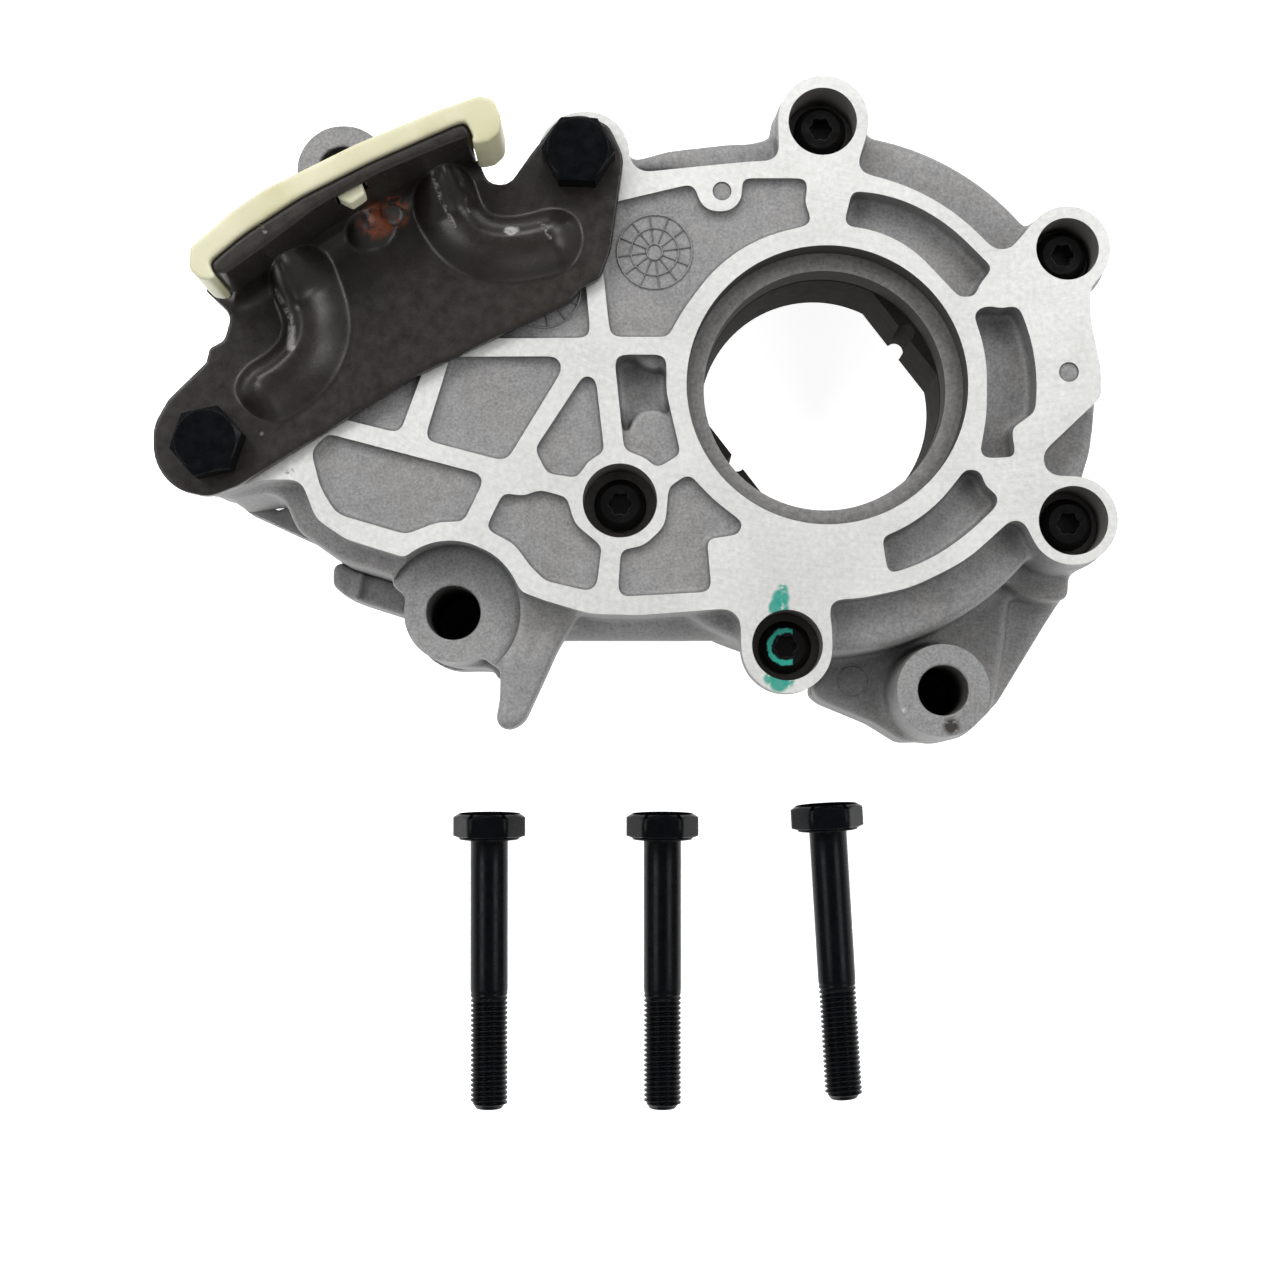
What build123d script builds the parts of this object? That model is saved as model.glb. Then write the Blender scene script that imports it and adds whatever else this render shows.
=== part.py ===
from build123d import *
import math
import os

os.makedirs("parts", exist_ok=True)

# Engine oil pump, lying on its rear face. Millimetres.
# Origin: crank axis, in the rear mounting plane. +Z runs along the crank axis to the
# front (the machined face), +Y is the chain guide's side, +X the outlet lug's side.

# ---- driving dimensions -------------------------------------------------------
COVER_T = 8.0            # rear cover, z 0..8
FACE_Z = 40.0            # machined front face
LEDGE_Z = 33.5           # as-cast ledge all round, and floor of the deep pockets
SHALLOW = 1.5            # depth of the shallow face pockets
MOUNT_Z = 31.5           # spot-faced tops of the three mounting bosses
LUG_Z = 16.0             # web round the lower right mounting boss
ROOF_Z = 26.0            # front end of the rotor chamber
CASING_R = 50.8          # outside of the rotor casing

MOUTH_R = 26.7           # recess in the crank bore's mouth
BORE_R = 23.25           # crank bore between recess and rotor
REAR_BORE_R = 24.8       # crank bore through the rear cover
HUB_R = 27.0             # rear hub of the inner rotor
HUB_CLEAR = 0.06
HUB_Z = 5.0

LOBES = 9                # inner rotor lobes, the outer rotor has one more
ECC = 3.2                # distance between the two rotor axes
ECC_DIR = 30.0           # direction of the outer rotor's axis, degrees
TOOTH_PITCH_R = 39.2     # outer rotor tooth centres
TOOTH_R = 6.5
ROTOR_GAP = 0.10         # between inner and outer tooth forms
OUTER_R = 43.5           # outer rotor
POCKET_R = 43.6          # its pocket in the housing
OUTER_ROOT_R = 39.15
END_GAP = 0.05           # rotors' end clearance, each side
DRIVE_R = 23.2           # inner rotor bore
DRIVE_FLAT = 20.8        # drive flats from the axis
DRIVE_DIR = 37.6         # direction of the first flat's normal, degrees
NOTCH_R = 1.8

MOUNTS = [               # x, y, hole radius, boss radius
    (-71.43, -42.78, 5.17, 9.6),
    (22.66, -57.72, 4.80, 9.0),
    (-93.32, 43.39, 4.80, 9.1),
]
SPOT_R = 13.0            # spot face round the two mounting bosses inside the wing

SCREWS = [               # x, y, counterbore radius: M6 cover screws
    (-0.62, 50.70, 6.53),
    (45.84, 26.01, 5.96),
    (46.35, -25.96, 6.57),
    (-7.77, -49.53, 6.67),
    (-39.33, -22.16, 7.04),
]
SCREW_HEAD_R = 5.05
SCREW_HEAD_H = 6.0
SCREW_SEAT_Z = 28.7
SCREW_R = 3.0

GUIDE_BOLTS = [(-47.17, 43.20), (-116.37, -11.88)]   # M8 hexagon bolts
GUIDE_BOSS = [(-46.32, 43.95), (-116.80, -11.98)]
GUIDE_AF = 12.0
GUIDE_HEAD_H = 5.4
PLATE_T = 2.6            # sheet of the guide bracket
FLANGE_Z = 63.0
SHOE_Z0 = 47.5
SHOE_Z1 = 64.2

LOOSE_AF = 13.0          # M8 x 55 mounting bolts
LOOSE_HEAD_H = 5.2
LOOSE_LEN = 54.2          # 55 nominal, at the short end of its tolerance
LOOSE_R = 3.95

RELIEF_Y = -39.5         # relief valve bore, along X
RELIEF_Z = 19.0
RELIEF_R = 4.6
RELIEF_X0 = -52.0        # mouth of the bore
RELIEF_X1 = -27.0        # closed end
TUBE_R = 8.0

# ---- outlines: (x, y, corner radius) ------------------------------------------

FACE = [
    (-55.11, 52.58, 8.64), (-37.54, 52.58, 8.64), (-37.53, 40.56, 3.76), (-24.09, 41.95, 15.03), (-14.54, 42.88, 11.27),
    (-8.92, 43.07, 2.63), (-9.37, 59.64, 8.64), (8.23, 59.64, 8.64), (8.16, 49.38, 7.51), (5.57, 41.04, 2.44),
    (15.87, 38.19, 40.01), (25.08, 32.77, 40.01), (33.53, 24.23, 3.38), (42.71, 35.01, 8.08), (52.01, 33.35, 8.08),
    (55.13, 24.35, 8.08), (50.11, 18.46, 2.25), (50.03, 12.69, 11.27), (51.90, 3.10, 11.27), (51.93, -2.35, 0.56),
    (36.13, -17.33, 3.19), (51.67, -17.68, 8.36), (56.07, -26.49, 8.36), (50.53, -34.74, 8.36), (40.73, -34.00, 8.36),
    (36.19, -24.32, 2.44), (26.15, -33.47, 28.18), (15.74, -38.67, 28.18), (6.30, -40.66, 18.78), (-0.01, -41.03, 2.25),
    (0.62, -46.70, 7.51), (0.77, -55.17, 9.02), (-7.82, -59.79, 9.02), (-16.36, -55.17, 9.02), (-16.60, -42.45, 3.38),
    (-35.53, -43.87, 15.03), (-44.95, -43.64, 11.27), (-53.43, -41.13, 9.39), (-57.96, -39.43, 1.69), (-61.72, -32.24, 13.15),
    (-72.20, -29.03, 13.15), (-79.29, -33.18, 1.50), (-91.02, -29.49, 4.70), (-96.72, -25.69, 5.26), (-99.62, -18.18, 3.01),
    (-106.99, -18.18, 3.76), (-117.74, -21.45, 8.64), (-124.37, -16.99, 8.64), (-125.44, -9.05, 8.64), (-109.18, 8.85, 3.76),
    (-107.38, 18.07, 5.64), (-104.63, 28.48, 2.25), (-98.99, 30.21, 12.77), (-87.46, 30.21, 12.77), (-82.03, 35.43, 1.50),
    (-73.65, 36.98, 3.76), (-62.21, 35.43, 3.76), (-55.07, 37.36, 2.82),
]

POCKET_A = [
    (-43.72, 34.27, 1.13), (-25.23, 38.68, 1.69), (-23.53, 33.30, 3.76), (-16.19, 33.21, 3.76), (-16.08, 39.68, 1.13),
    (-3.30, 39.68, 1.50), (-4.09, 35.04, 2.82), (-2.49, 30.79, 1.50), (-13.06, 28.16, 30.05), (-21.31, 22.39, 30.05),
    (-27.29, 14.28, 30.05), (-30.21, 9.04, 1.13), (-41.22, 9.04, 1.88), (-42.57, 21.54, 5.64),
]

POCKET_B = [
    (-67.88, 25.78, 1.88), (-46.38, 28.67, 1.50), (-45.80, 19.42, 3.76), (-44.83, 8.85, 1.69), (-69.32, 8.76, 1.13),
]

POCKET_C = [
    (-71.58, 5.31, 0.75), (-49.76, 5.40, 2.07), (-50.70, 1.95, 1.50), (-60.50, -14.28, 1.88), (-62.39, -14.37, 1.13),
    (-76.41, -10.66, 1.69),
]

POCKET_D = [
    (-46.15, 1.95, 1.69), (-43.87, 1.19, 2.25), (-42.25, -12.94, 1.50), (-45.18, -14.66, 2.25), (-47.44, -17.90, 1.13),
    (-53.12, -17.04, 1.50), (-55.49, -12.37, 1.69),
]

POCKET_E = [
    (-94.59, -9.42, 1.31), (-64.55, -17.33, 1.88), (-68.77, -26.16, 1.50), (-73.86, -26.35, 5.64), (-79.70, -28.63, 1.88),
    (-92.95, -24.74, 4.51), (-96.02, -19.61, 7.51), (-97.88, -12.56, 2.82),
]

POCKET_F = [
    (-96.14, -5.60, 1.50), (-80.96, -9.42, 1.69), (-75.00, 7.13, 1.13), (-77.30, 10.39, 1.88), (-94.33, 3.68, 1.88),
]

POCKET_G = [
    (-61.42, -20.65, 1.31), (-57.45, -21.32, 3.76), (-54.62, -20.05, 2.25), (-49.32, -21.51, 1.50), (-47.80, -26.64, 4.70),
    (-42.70, -30.81, 1.50), (-43.82, -39.71, 2.07), (-53.44, -37.44, 3.76), (-56.28, -34.60, 4.70), (-59.31, -30.43, 5.64),
    (-64.79, -27.59, 1.50),
]

POCKET_H = [
    (-30.14, -19.61, 1.50), (-26.26, -16.94, 1.50), (-21.99, -21.69, 30.15), (-15.89, -26.45, 1.31), (-17.03, -28.73, 1.31),
    (-22.88, -29.49, 1.31), (-21.96, -39.52, 1.69), (-39.77, -40.47, 1.69), (-39.21, -31.48, 1.50), (-34.96, -30.81, 4.70),
    (-30.81, -27.02, 4.70),
]

DEEP_A = [
    (-40.46, 5.69, 1.69), (-30.50, 5.69, 1.69), (-30.51, -1.49, 7.51), (-27.77, -13.33, 1.13), (-32.31, -16.09, 1.31),
    (-34.58, -14.09, 1.50), (-38.56, -12.56, 1.50),
]

DEEP_B = [
    (4.88, 37.17, 1.31), (12.52, 36.68, 37.38), (22.83, 31.21, 37.38), (31.61, 22.31, 1.13), (29.11, 19.23, 2.25),
    (28.13, 16.73, 1.69), (25.09, 16.73, 1.69), (16.08, 26.52, 30.05), (8.50, 29.87, 30.05), (3.22, 30.41, 1.31),
]

DEEP_C = [
    (27.63, 14.04, 1.69), (30.59, 15.09, 2.25), (33.43, 14.52, 2.63), (36.29, 15.48, 1.88), (40.58, 4.30, 39.35),
    (39.29, -5.31, 1.13), (34.81, -8.56, 1.31), (35.60, -13.90, 0.94), (28.60, -14.18, 1.50), (30.12, -6.05, 29.96),
    (30.33, 5.53, 29.96),
]

DEEP_D = [
    (26.12, -16.09, 1.50), (28.95, -16.56, 1.50), (29.69, -19.23, 2.25), (32.31, -21.51, 1.13), (31.72, -23.41, 1.13),
    (27.01, -27.89, 38.22), (18.88, -34.00, 38.22), (11.23, -36.12, 1.31), (10.15, -29.11, 1.13), (18.51, -25.90, 30.62),
]

LEDGE_TOP = [
    (-43.28, 45.49, 0.00), (-35.92, 45.49, 1.53), (-30.10, 47.17, 7.63), (-18.08, 48.54, 11.44), (-10.14, 48.64, 1.53),
    (-10.12, 54.46, 2.29), (-0.03, 54.46, 0.00), (-0.09, 42.64, 0.00), (-43.28, 42.64, 0.00),
]

LEDGE_RIGHT = [
    (45.29, -1.91, 0.00), (52.21, -1.91, 0.38), (51.97, -5.79, 1.91), (51.12, -11.98, 3.81), (49.52, -17.01, 0.57),
    (45.08, -19.33, 0.00), (39.36, -15.47, 0.00), (39.45, -7.72, 0.00),
]

RAIL = [
    (-115.74, -20.88, 0.95), (-106.93, -19.52, 2.29), (-104.03, -21.26, 3.81), (-101.48, -27.05, 4.20), (-93.00, -32.82, 7.63),
    (-82.25, -36.09, 1.91), (-79.93, -38.59, 0.00), (-73.80, -40.51, 0.00), (-73.88, -25.12, 0.00), (-100.84, -13.53, 0.00),
    (-115.82, -13.53, 0.00),
]

LUG = [
    (-1.36, -57.43, 0.99), (0.62, -59.22, 1.99), (10.72, -63.39, 3.97), (17.04, -67.35, 2.38), (28.36, -66.96, 7.94),
    (35.97, -59.61, 5.96), (45.68, -43.89, 5.96), (49.33, -38.29, 1.59), (49.42, -31.09, 0.00), (36.26, -31.09, 0.00),
    (2.29, -43.09, 0.00),
]

FIN = [
    (-59.85, -35.90, 0.57), (-54.67, -38.59, 0.00), (-47.20, -42.62, 0.57), (-47.96, -44.35, 1.53), (-51.39, -49.90, 3.81),
    (-53.48, -54.68, 1.14), (-57.65, -63.84, 2.67), (-60.69, -65.75, 2.29), (-63.37, -64.23, 2.29), (-62.43, -59.65, 2.86),
    (-62.27, -52.00, 0.95),
]

TAB = [
    (-95.42, -31.30, 0.40), (-97.02, -31.90, 0.60), (-97.18, -35.92, 1.20), (-94.56, -38.13, 1.60), (-90.75, -39.53, 1.99),
    (-82.53, -42.14, 0.80), (-79.56, -36.92, 0.00), (-87.60, -31.90, 0.00),
]

BRACKET = [
    (-124.42, -3.28, 3.73), (-127.17, -8.21, 7.47), (-127.08, -15.03, 9.33), (-123.25, -20.33, 8.40), (-116.66, -21.84, 5.60),
    (-111.24, -19.76, 3.73), (-101.71, -13.71, 1.87), (-91.05, -7.07, 7.47), (-76.99, 1.67, 14.93), (-61.94, 9.00, 14.93),
    (-48.75, 15.30, 1.49), (-46.30, 18.26, 1.49), (-43.09, 19.79, 2.61), (-41.01, 25.53, 7.47), (-39.70, 34.75, 14.93),
    (-38.56, 43.02, 5.60), (-41.41, 49.38, 4.85), (-46.92, 51.50, 4.85), (-51.47, 49.96, 4.48), (-56.20, 43.79, 11.20),
    (-60.54, 37.44, 3.36), (-64.33, 38.21, 2.61), (-66.25, 42.44, 1.87), (-73.45, 42.44, 0.00), (-90.45, 34.75, 0.00),
    (-111.17, 24.19, 0.00), (-117.70, 17.50, 0.00), (-112.74, 12.72, 2.61), (-114.00, 7.95, 1.87), (-116.81, 6.43, 1.12),
    (-117.35, 3.76, 1.12),
]

FLANGE = [
    (-112.93, 17.95, 0.53), (-107.42, 22.87, 35.47), (-96.70, 29.98, 35.47), (-84.16, 36.38, 35.47), (-68.88, 43.15, 35.47),
    (-67.26, 43.61, 0.89), (-65.99, 41.32, 0.71), (-71.57, 39.12, 35.47), (-82.34, 34.55, 35.47), (-93.09, 28.70, 35.47),
    (-103.80, 20.50, 35.47), (-109.86, 16.23, 0.71), (-112.19, 16.13, 0.71),
]

SHOE = [
    (-116.51, 16.68, 1.42), (-116.38, 20.50, 2.13), (-109.26, 26.88, 10.64), (-103.55, 30.89, 14.19), (-86.70, 39.40, 35.47),
    (-71.60, 45.81, 35.47), (-64.40, 48.29, 1.77), (-62.05, 47.74, 1.77), (-60.60, 44.62, 2.48), (-60.76, 41.50, 2.13),
    (-62.74, 39.85, 1.42), (-65.44, 39.30, 0.53), (-65.90, 40.22, 0.27), (-65.45, 40.77, 0.35), (-66.90, 43.70, 1.06),
    (-68.88, 43.15, 17.73), (-84.16, 36.38, 35.47), (-96.70, 29.98, 35.47), (-107.42, 22.87, 35.47), (-112.93, 18.14, 1.06),
    (-112.19, 16.04, 0.53), (-111.64, 15.41, 0.35), (-112.53, 14.50, 0.53), (-114.69, 14.86, 1.06),
]

RIB_R = [
    (-78.82, 36.81, 1.12), (-78.23, 33.55, 3.73), (-74.79, 25.89, 5.59), (-69.09, 19.78, 5.59), (-61.93, 19.40, 7.45),
    (-50.62, 22.26, 2.24), (-46.29, 24.55, 2.24), (-47.24, 32.21, 2.61), (-53.48, 33.17, 2.24), (-62.54, 31.06, 3.73),
    (-65.75, 31.25, 2.24), (-68.42, 36.43, 5.59), (-70.34, 41.03, 0.93), (-75.25, 39.88, 0.93),
]

RIB_L = [
    (-104.90, 18.06, 1.12), (-102.97, 13.48, 5.59), (-102.74, 8.72, 4.66), (-107.39, 3.59, 2.98), (-110.73, -0.21, 2.61),
    (-108.81, -4.38, 2.61), (-104.11, -4.38, 2.61), (-97.57, -0.59, 7.45), (-90.46, 3.59, 4.66), (-90.15, 11.58, 7.45),
    (-94.37, 20.16, 5.59), (-98.76, 25.89, 1.12),
]


# ---- helpers ------------------------------------------------------------------
def outline(pts):
    """Closed face from corner points, each with its own corner radius."""
    n = len(pts)
    P = [(p[0], p[1]) for p in pts]
    ln, dx = [], []
    for i in range(n):
        a, b = P[i], P[(i + 1) % n]
        d = math.hypot(b[0] - a[0], b[1] - a[1])
        ln.append(d)
        dx.append(((b[0] - a[0]) / d, (b[1] - a[1]) / d))
    turn, T = [], []
    for i in range(n):
        u, v = dx[i - 1], dx[i]
        ang = math.atan2(u[0] * v[1] - u[1] * v[0], u[0] * v[0] + u[1] * v[1])
        turn.append(ang)
        T.append(pts[i][2] * math.tan(abs(ang) / 2) if abs(ang) > 0.01 else 0.0)
    for _ in range(6):
        for i in range(n):
            j = (i + 1) % n
            s = T[i] + T[j]
            if s > ln[i] * 0.995:
                k = ln[i] * 0.995 / s
                T[i] *= k
                T[j] *= k
    edges = []
    start = None
    last = None
    for i in range(n):
        x, y = P[i]
        if T[i] < 1e-3:
            p1 = p2 = (x, y)
            mid = None
        else:
            r = T[i] / math.tan(abs(turn[i]) / 2)
            u, v = dx[i - 1], dx[i]
            p1 = (x - u[0] * T[i], y - u[1] * T[i])
            p2 = (x + v[0] * T[i], y + v[1] * T[i])
            bx, by = v[0] - u[0], v[1] - u[1]
            bl = math.hypot(bx, by)
            m = r / math.cos(abs(turn[i]) / 2) - r
            mid = (x + bx / bl * m, y + by / bl * m)
        if last is None:
            start = p1
        else:
            edges.append(Line(last, p1))
        if mid is not None:
            edges.append(ThreePointArc(p1, mid, p2))
        last = p2
    edges.append(Line(last, start))
    return Face(Wire(edges))


def prism(pts, z0, z1):
    return Pos(0, 0, z0) * extrude(outline(pts), amount=z1 - z0, dir=(0, 0, 1))


def cyl(x, y, z0, z1, r):
    return Pos(x, y, (z0 + z1) / 2) * Cylinder(r, z1 - z0)


def cone(x, y, z0, z1, r0, r1):
    return Pos(x, y, (z0 + z1) / 2) * Cone(r0, r1, z1 - z0)


def box(x0, x1, y0, y1, z0, z1):
    return Pos((x0 + x1) / 2, (y0 + y1) / 2, (z0 + z1) / 2) * Box(x1 - x0, y1 - y0, z1 - z0)


def xcyl(x0, x1, y, z, r):
    return Pos((x0 + x1) / 2, y, z) * Rot(0, 90, 0) * Cylinder(r, x1 - x0)


def round_edges(solid, z, r):
    """Round the edges that lie in the plane z, where the kernel can."""
    es = [e for e in solid.edges() if abs(e.center().Z - z) < 1e-4 and e.bounding_box().size.Z < 1e-4]
    try:
        return fillet(es, r)
    except Exception:
        return solid


def shrink(pts, k):
    cx = sum(p[0] for p in pts) / len(pts)
    cy = sum(p[1] for p in pts) / len(pts)
    return [(cx + (p[0] - cx) * k, cy + (p[1] - cy) * k, p[2]) for p in pts]


def pocket(pts, depth, r):
    """Cutter for a face pocket with a rounded foot."""
    c = prism(pts, FACE_Z - depth, FACE_Z + 2)
    return round_edges(c, FACE_Z - depth, r)


def hexagon(af, z0, z1, x, y, turn=0.0, chamfer_top=True):
    r = af / math.sqrt(3)
    pts = [(x + r * math.cos(math.radians(turn + 60 * k)), y + r * math.sin(math.radians(turn + 60 * k)), 0)
           for k in range(6)]
    h = prism(pts, z0, z1)
    if chamfer_top:
        h = h & (cyl(x, y, z0, z1 - 0.9, r + 1) + cone(x, y, z1 - 0.9, z1, r + 0.35, r - 1.2))
    return h


def polar(r, deg):
    return (r * math.cos(math.radians(deg)), r * math.sin(math.radians(deg)))


def kidney(r0, r1, a0, a1, z0, z1):
    """Arc-shaped slot round the crank axis with rounded ends."""
    rm, w = (r0 + r1) / 2, (r1 - r0) / 2
    n = 4
    st = (a1 - a0) / n
    h = math.radians(st / 2)
    outer = [polar(r1 / math.cos(h), a0 + st * (i + 0.5)) + (r1,) for i in range(n)]
    inner = [polar(r0 / math.cos(h), a1 - st * (i + 0.5)) + (r0,) for i in range(n)]
    p0, p1 = polar(r0, a0), polar(r1, a0)
    q0, q1 = polar(r0, a1), polar(r1, a1)
    pts = [p0 + (w * 0.8,), p1 + (w * 0.8,)] + outer + [q1 + (w * 0.8,), q0 + (w * 0.8,)] + inner
    return prism(pts, z0, z1)


def save(shape, name):
    shape.label = name
    export_step(shape, "parts/" + name + ".step")
    v = shape.volume
    print("%-18s %9.1f mm3  solids %d" % (name, v, len(shape.solids())))


# ---- front housing --------------------------------------------------------------
def lower_plan(z0, z1):
    """Plan of the face without the two bosses that get slimmer behind it."""
    p = prism(FACE, z0, z1)
    p -= box(-18.6, 3.0, -62.0, -45.2, z0 - 1, z1 + 1)
    p -= box(-129.0, -116.8, -24.0, 0.0, z0 - 1, z1 + 1)
    p -= box(-117.0, -107.5, -24.0, -17.2, z0 - 1, z1 + 1)
    return p


WEB_C = [(-73.5, -46.9, 0), (-72.6, -52.65, 1.5), (-65.6, -52.65, 0), (-64.3, -53.5, 0.4), (-63.6, -55.3, 0.8), (-62.3, -55.3, 0.4), (-62.3, -46.9, 0)]
body = prism(FACE, 31.0, FACE_Z) + lower_plan(COVER_T, 31.5)
casing = round_edges(cyl(0, 0, COVER_T, LEDGE_Z, CASING_R), LEDGE_Z, 2.2)
body += casing
body += round_edges(prism(LEDGE_TOP, COVER_T, LEDGE_Z), LEDGE_Z, 1.2)
body += prism(LEDGE_RIGHT, COVER_T, LEDGE_Z)
rail = round_edges(prism(RAIL, COVER_T, LEDGE_Z), LEDGE_Z, 2.4)
body += rail
body += cyl(SCREWS[0][0], SCREWS[0][1], COVER_T, 37.0, 9.1)
body += cyl(SCREWS[1][0], SCREWS[1][1], COVER_T, LEDGE_Z, 8.9)
body += cyl(SCREWS[2][0], SCREWS[2][1], COVER_T, LEDGE_Z, 8.9)
body += cone(SCREWS[3][0], SCREWS[3][1], COVER_T, 31.5, 6.8, 8.5)
body += cone(GUIDE_BOSS[1][0], GUIDE_BOSS[1][1], COVER_T, 33.0, 6.8, 8.0)
lug = round_edges(prism(LUG, COVER_T, LUG_Z), LUG_Z, 2.0)
# the outer part of the lug is a lower panel, with a ridge left beside the boss
lug -= prism([(38.0, -39.0, 0), (37.0, -47.9, 12.0), (35.5, -55.8, 12.0), (34.2, -60.6, 0), (39.0, -66.0, 0), (54.0, -50.0, 0), (54.0, -36.0, 0)],
             LUG_Z - 2.6, LUG_Z + 3.0)
body += lug
# lower end of the screw column beside the lug
body += round_edges(cyl(SCREWS[2][0] - 1.2, SCREWS[2][1] - 2.2, COVER_T, 20.0, 11.6) & prism(LUG, COVER_T, 20.0), 20.0, 1.0)
# relief valve barrel, fin and the lower web between them
body += xcyl(RELIEF_X0, -14.0, RELIEF_Y, RELIEF_Z, TUBE_R)
body += box(RELIEF_X0 + 6, -14.0, RELIEF_Y - 5.0, RELIEF_Y + 5.0, COVER_T, RELIEF_Z)
body += round_edges(prism(FIN, 25.0, LEDGE_Z), LEDGE_Z, 0.8)
# mounting bosses
for i, (mx, my, hr, br) in enumerate(MOUNTS):
    if i == 1:
        body += cone(mx, my, COVER_T, MOUNT_Z, br + 1.0, br)
    else:
        body += cyl(mx, my, 22.0, MOUNT_Z, SPOT_R + 0.4) & cyl(mx, my, 22.0, MOUNT_Z, SPOT_R + 0.4)
        body += cyl(mx, my, COVER_T, MOUNT_Z, br)
# web between the upper left mounting boss and the wing
body += prism([(-98.0, 34.0, 1), (-88.0, 34.0, 1), (-86.5, 26.0, 1), (-100.0, 24.0, 1)], 14.0, 30.0)
# the outer side of the two spot faces is open: trim the web to the boss there
for (mx, my, hr, br), (ux, uy), keep in ((MOUNTS[0], (-0.62, -0.785), 3.2), (MOUNTS[2], (-0.25, 0.968), -5.5)):
    ring = cyl(mx, my, COVER_T - 1, LEDGE_Z + 3, SPOT_R + 3.0) - cyl(mx, my, COVER_T - 2, LEDGE_Z + 4, br)
    half = Pos(mx + ux * (keep + 30.0), my + uy * (keep + 30.0), 22.0) * Rot(0, 0, math.degrees(math.atan2(uy, ux))) * Box(60.0, 60.0, 60.0)
    body -= ring & half
# the fin and the low web join the lower left boss
body += round_edges(prism(FIN, 25.0, LEDGE_Z), LEDGE_Z, 0.8)
body += round_edges(prism(WEB_C, COVER_T, 18.0), 18.0, 1.2)
# spot faces
body -= cyl(MOUNTS[0][0], MOUNTS[0][1], MOUNT_Z, FACE_Z + 1, SPOT_R)
body -= cyl(MOUNTS[2][0], MOUNTS[2][1], MOUNT_Z, FACE_Z + 1, SPOT_R)
for mx, my, hr, br in MOUNTS:
    body -= cyl(mx, my, COVER_T - 1, FACE_Z + 1, hr)
    body -= cone(mx, my, MOUNT_Z - 0.5, MOUNT_Z + 0.01, hr, hr + 0.5)

# crank bore and rotor chamber
ex, ey = polar(ECC, ECC_DIR)
body -= cyl(0, 0, ROOF_Z - 1, FACE_Z + 1, BORE_R)
body -= cyl(0, 0, LEDGE_Z, FACE_Z + 1, MOUTH_R)
body -= cyl(ex, ey, COVER_T - 1, ROOF_Z, POCKET_R)
# shallow blind ports in the chamber's roof
body -= kidney(30.8, 40.2, 64, 176, ROOF_Z - 1, ROOF_Z + 2.2)
body -= kidney(30.8, 40.2, -104, -20, ROOF_Z - 1, ROOF_Z + 2.2)

# face pockets
for pts in (POCKET_A, POCKET_B, POCKET_C, POCKET_D, POCKET_E, POCKET_F, POCKET_G, POCKET_H):
    body -= pocket(pts, SHALLOW, 0.6)
pads = cyl(-32.6, 7.2, 30.0, 37.6, 3.9) + cyl(-33.2, -8.6, 30.0, 38.5, 4.4) + box(-42.0, -26.0, -18.0, -8.6, 30.0, 38.5)
body -= pocket(DEEP_A, FACE_Z - LEDGE_Z, 1.1) - pads
body -= pocket(DEEP_B, 5.2, 0.9)
body -= pocket(DEEP_C, FACE_Z - LEDGE_Z, 1.1)
body -= pocket(DEEP_D, 5.2, 0.9)
# ejector marks
for x, y, r in ((-19.9, 37.17, 1.8), (45.82, 2.34, 1.88)):
    body -= cyl(x, y, FACE_Z - 0.35, FACE_Z + 1, r)
body -= cyl(6.6, -55.44, LUG_Z - 0.25, LUG_Z + 1, 3.0) - cyl(6.6, -55.44, LUG_Z - 1, LUG_Z + 2, 2.75)

# cover screws: counterbore, clearance hole
for x, y, r in SCREWS:
    body -= cyl(x, y, SCREW_SEAT_Z, FACE_Z + 1, r)
    body -= cyl(x, y, COVER_T - 1, SCREW_SEAT_Z + 1, SCREW_R + 0.3)
# guide bolt holes
for x, y in GUIDE_BOLTS:
    body -= cyl(x, y, 14.0, FACE_Z + 1, 4.0)

# rear cavities of the wing, with ribs left between them
for pts, k in ((POCKET_B, 0.84), (POCKET_C, 0.80), (POCKET_E, 0.82), (POCKET_F, 0.66)):
    body -= prism(shrink(pts, k), COVER_T - 1, 29.0)
body -= prism([(-60.5, -22.5, 1.5), (-50.5, -23.0, 1.5), (-47.0, -29.5, 2), (-58.0, -29.5, 2)], COVER_T - 1, 29.0)

# relief valve bore, its mouth and the notch that frees it
body -= xcyl(RELIEF_X0 - 8.9, RELIEF_X1, RELIEF_Y, RELIEF_Z, RELIEF_R)
body -= xcyl(RELIEF_X0 - 8.9, RELIEF_X0 + 5.5, RELIEF_Y, RELIEF_Z, 6.0)
body -= xcyl(RELIEF_X0 - 8.9, RELIEF_X0, RELIEF_Y, RELIEF_Z, 8.6)
body -= box(RELIEF_X0 - 8.9, RELIEF_X0, RELIEF_Y - 30.0, RELIEF_Y, 7.0, 24.9) - cyl(MOUNTS[0][0], MOUNTS[0][1], 0, 40, MOUNTS[0][3])
body -= cyl(RELIEF_X1 - 2.4, RELIEF_Y, COVER_T - 1, RELIEF_Z, 2.2)

# dowel holes
DOWELS = [(-47.0, 2.5), (27.0, -45.0)]
for x, y in DOWELS:
    body -= cyl(x, y, COVER_T - 1, 13.2, 2.5)

front_housing = body
save(front_housing, "front_housing")

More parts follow.
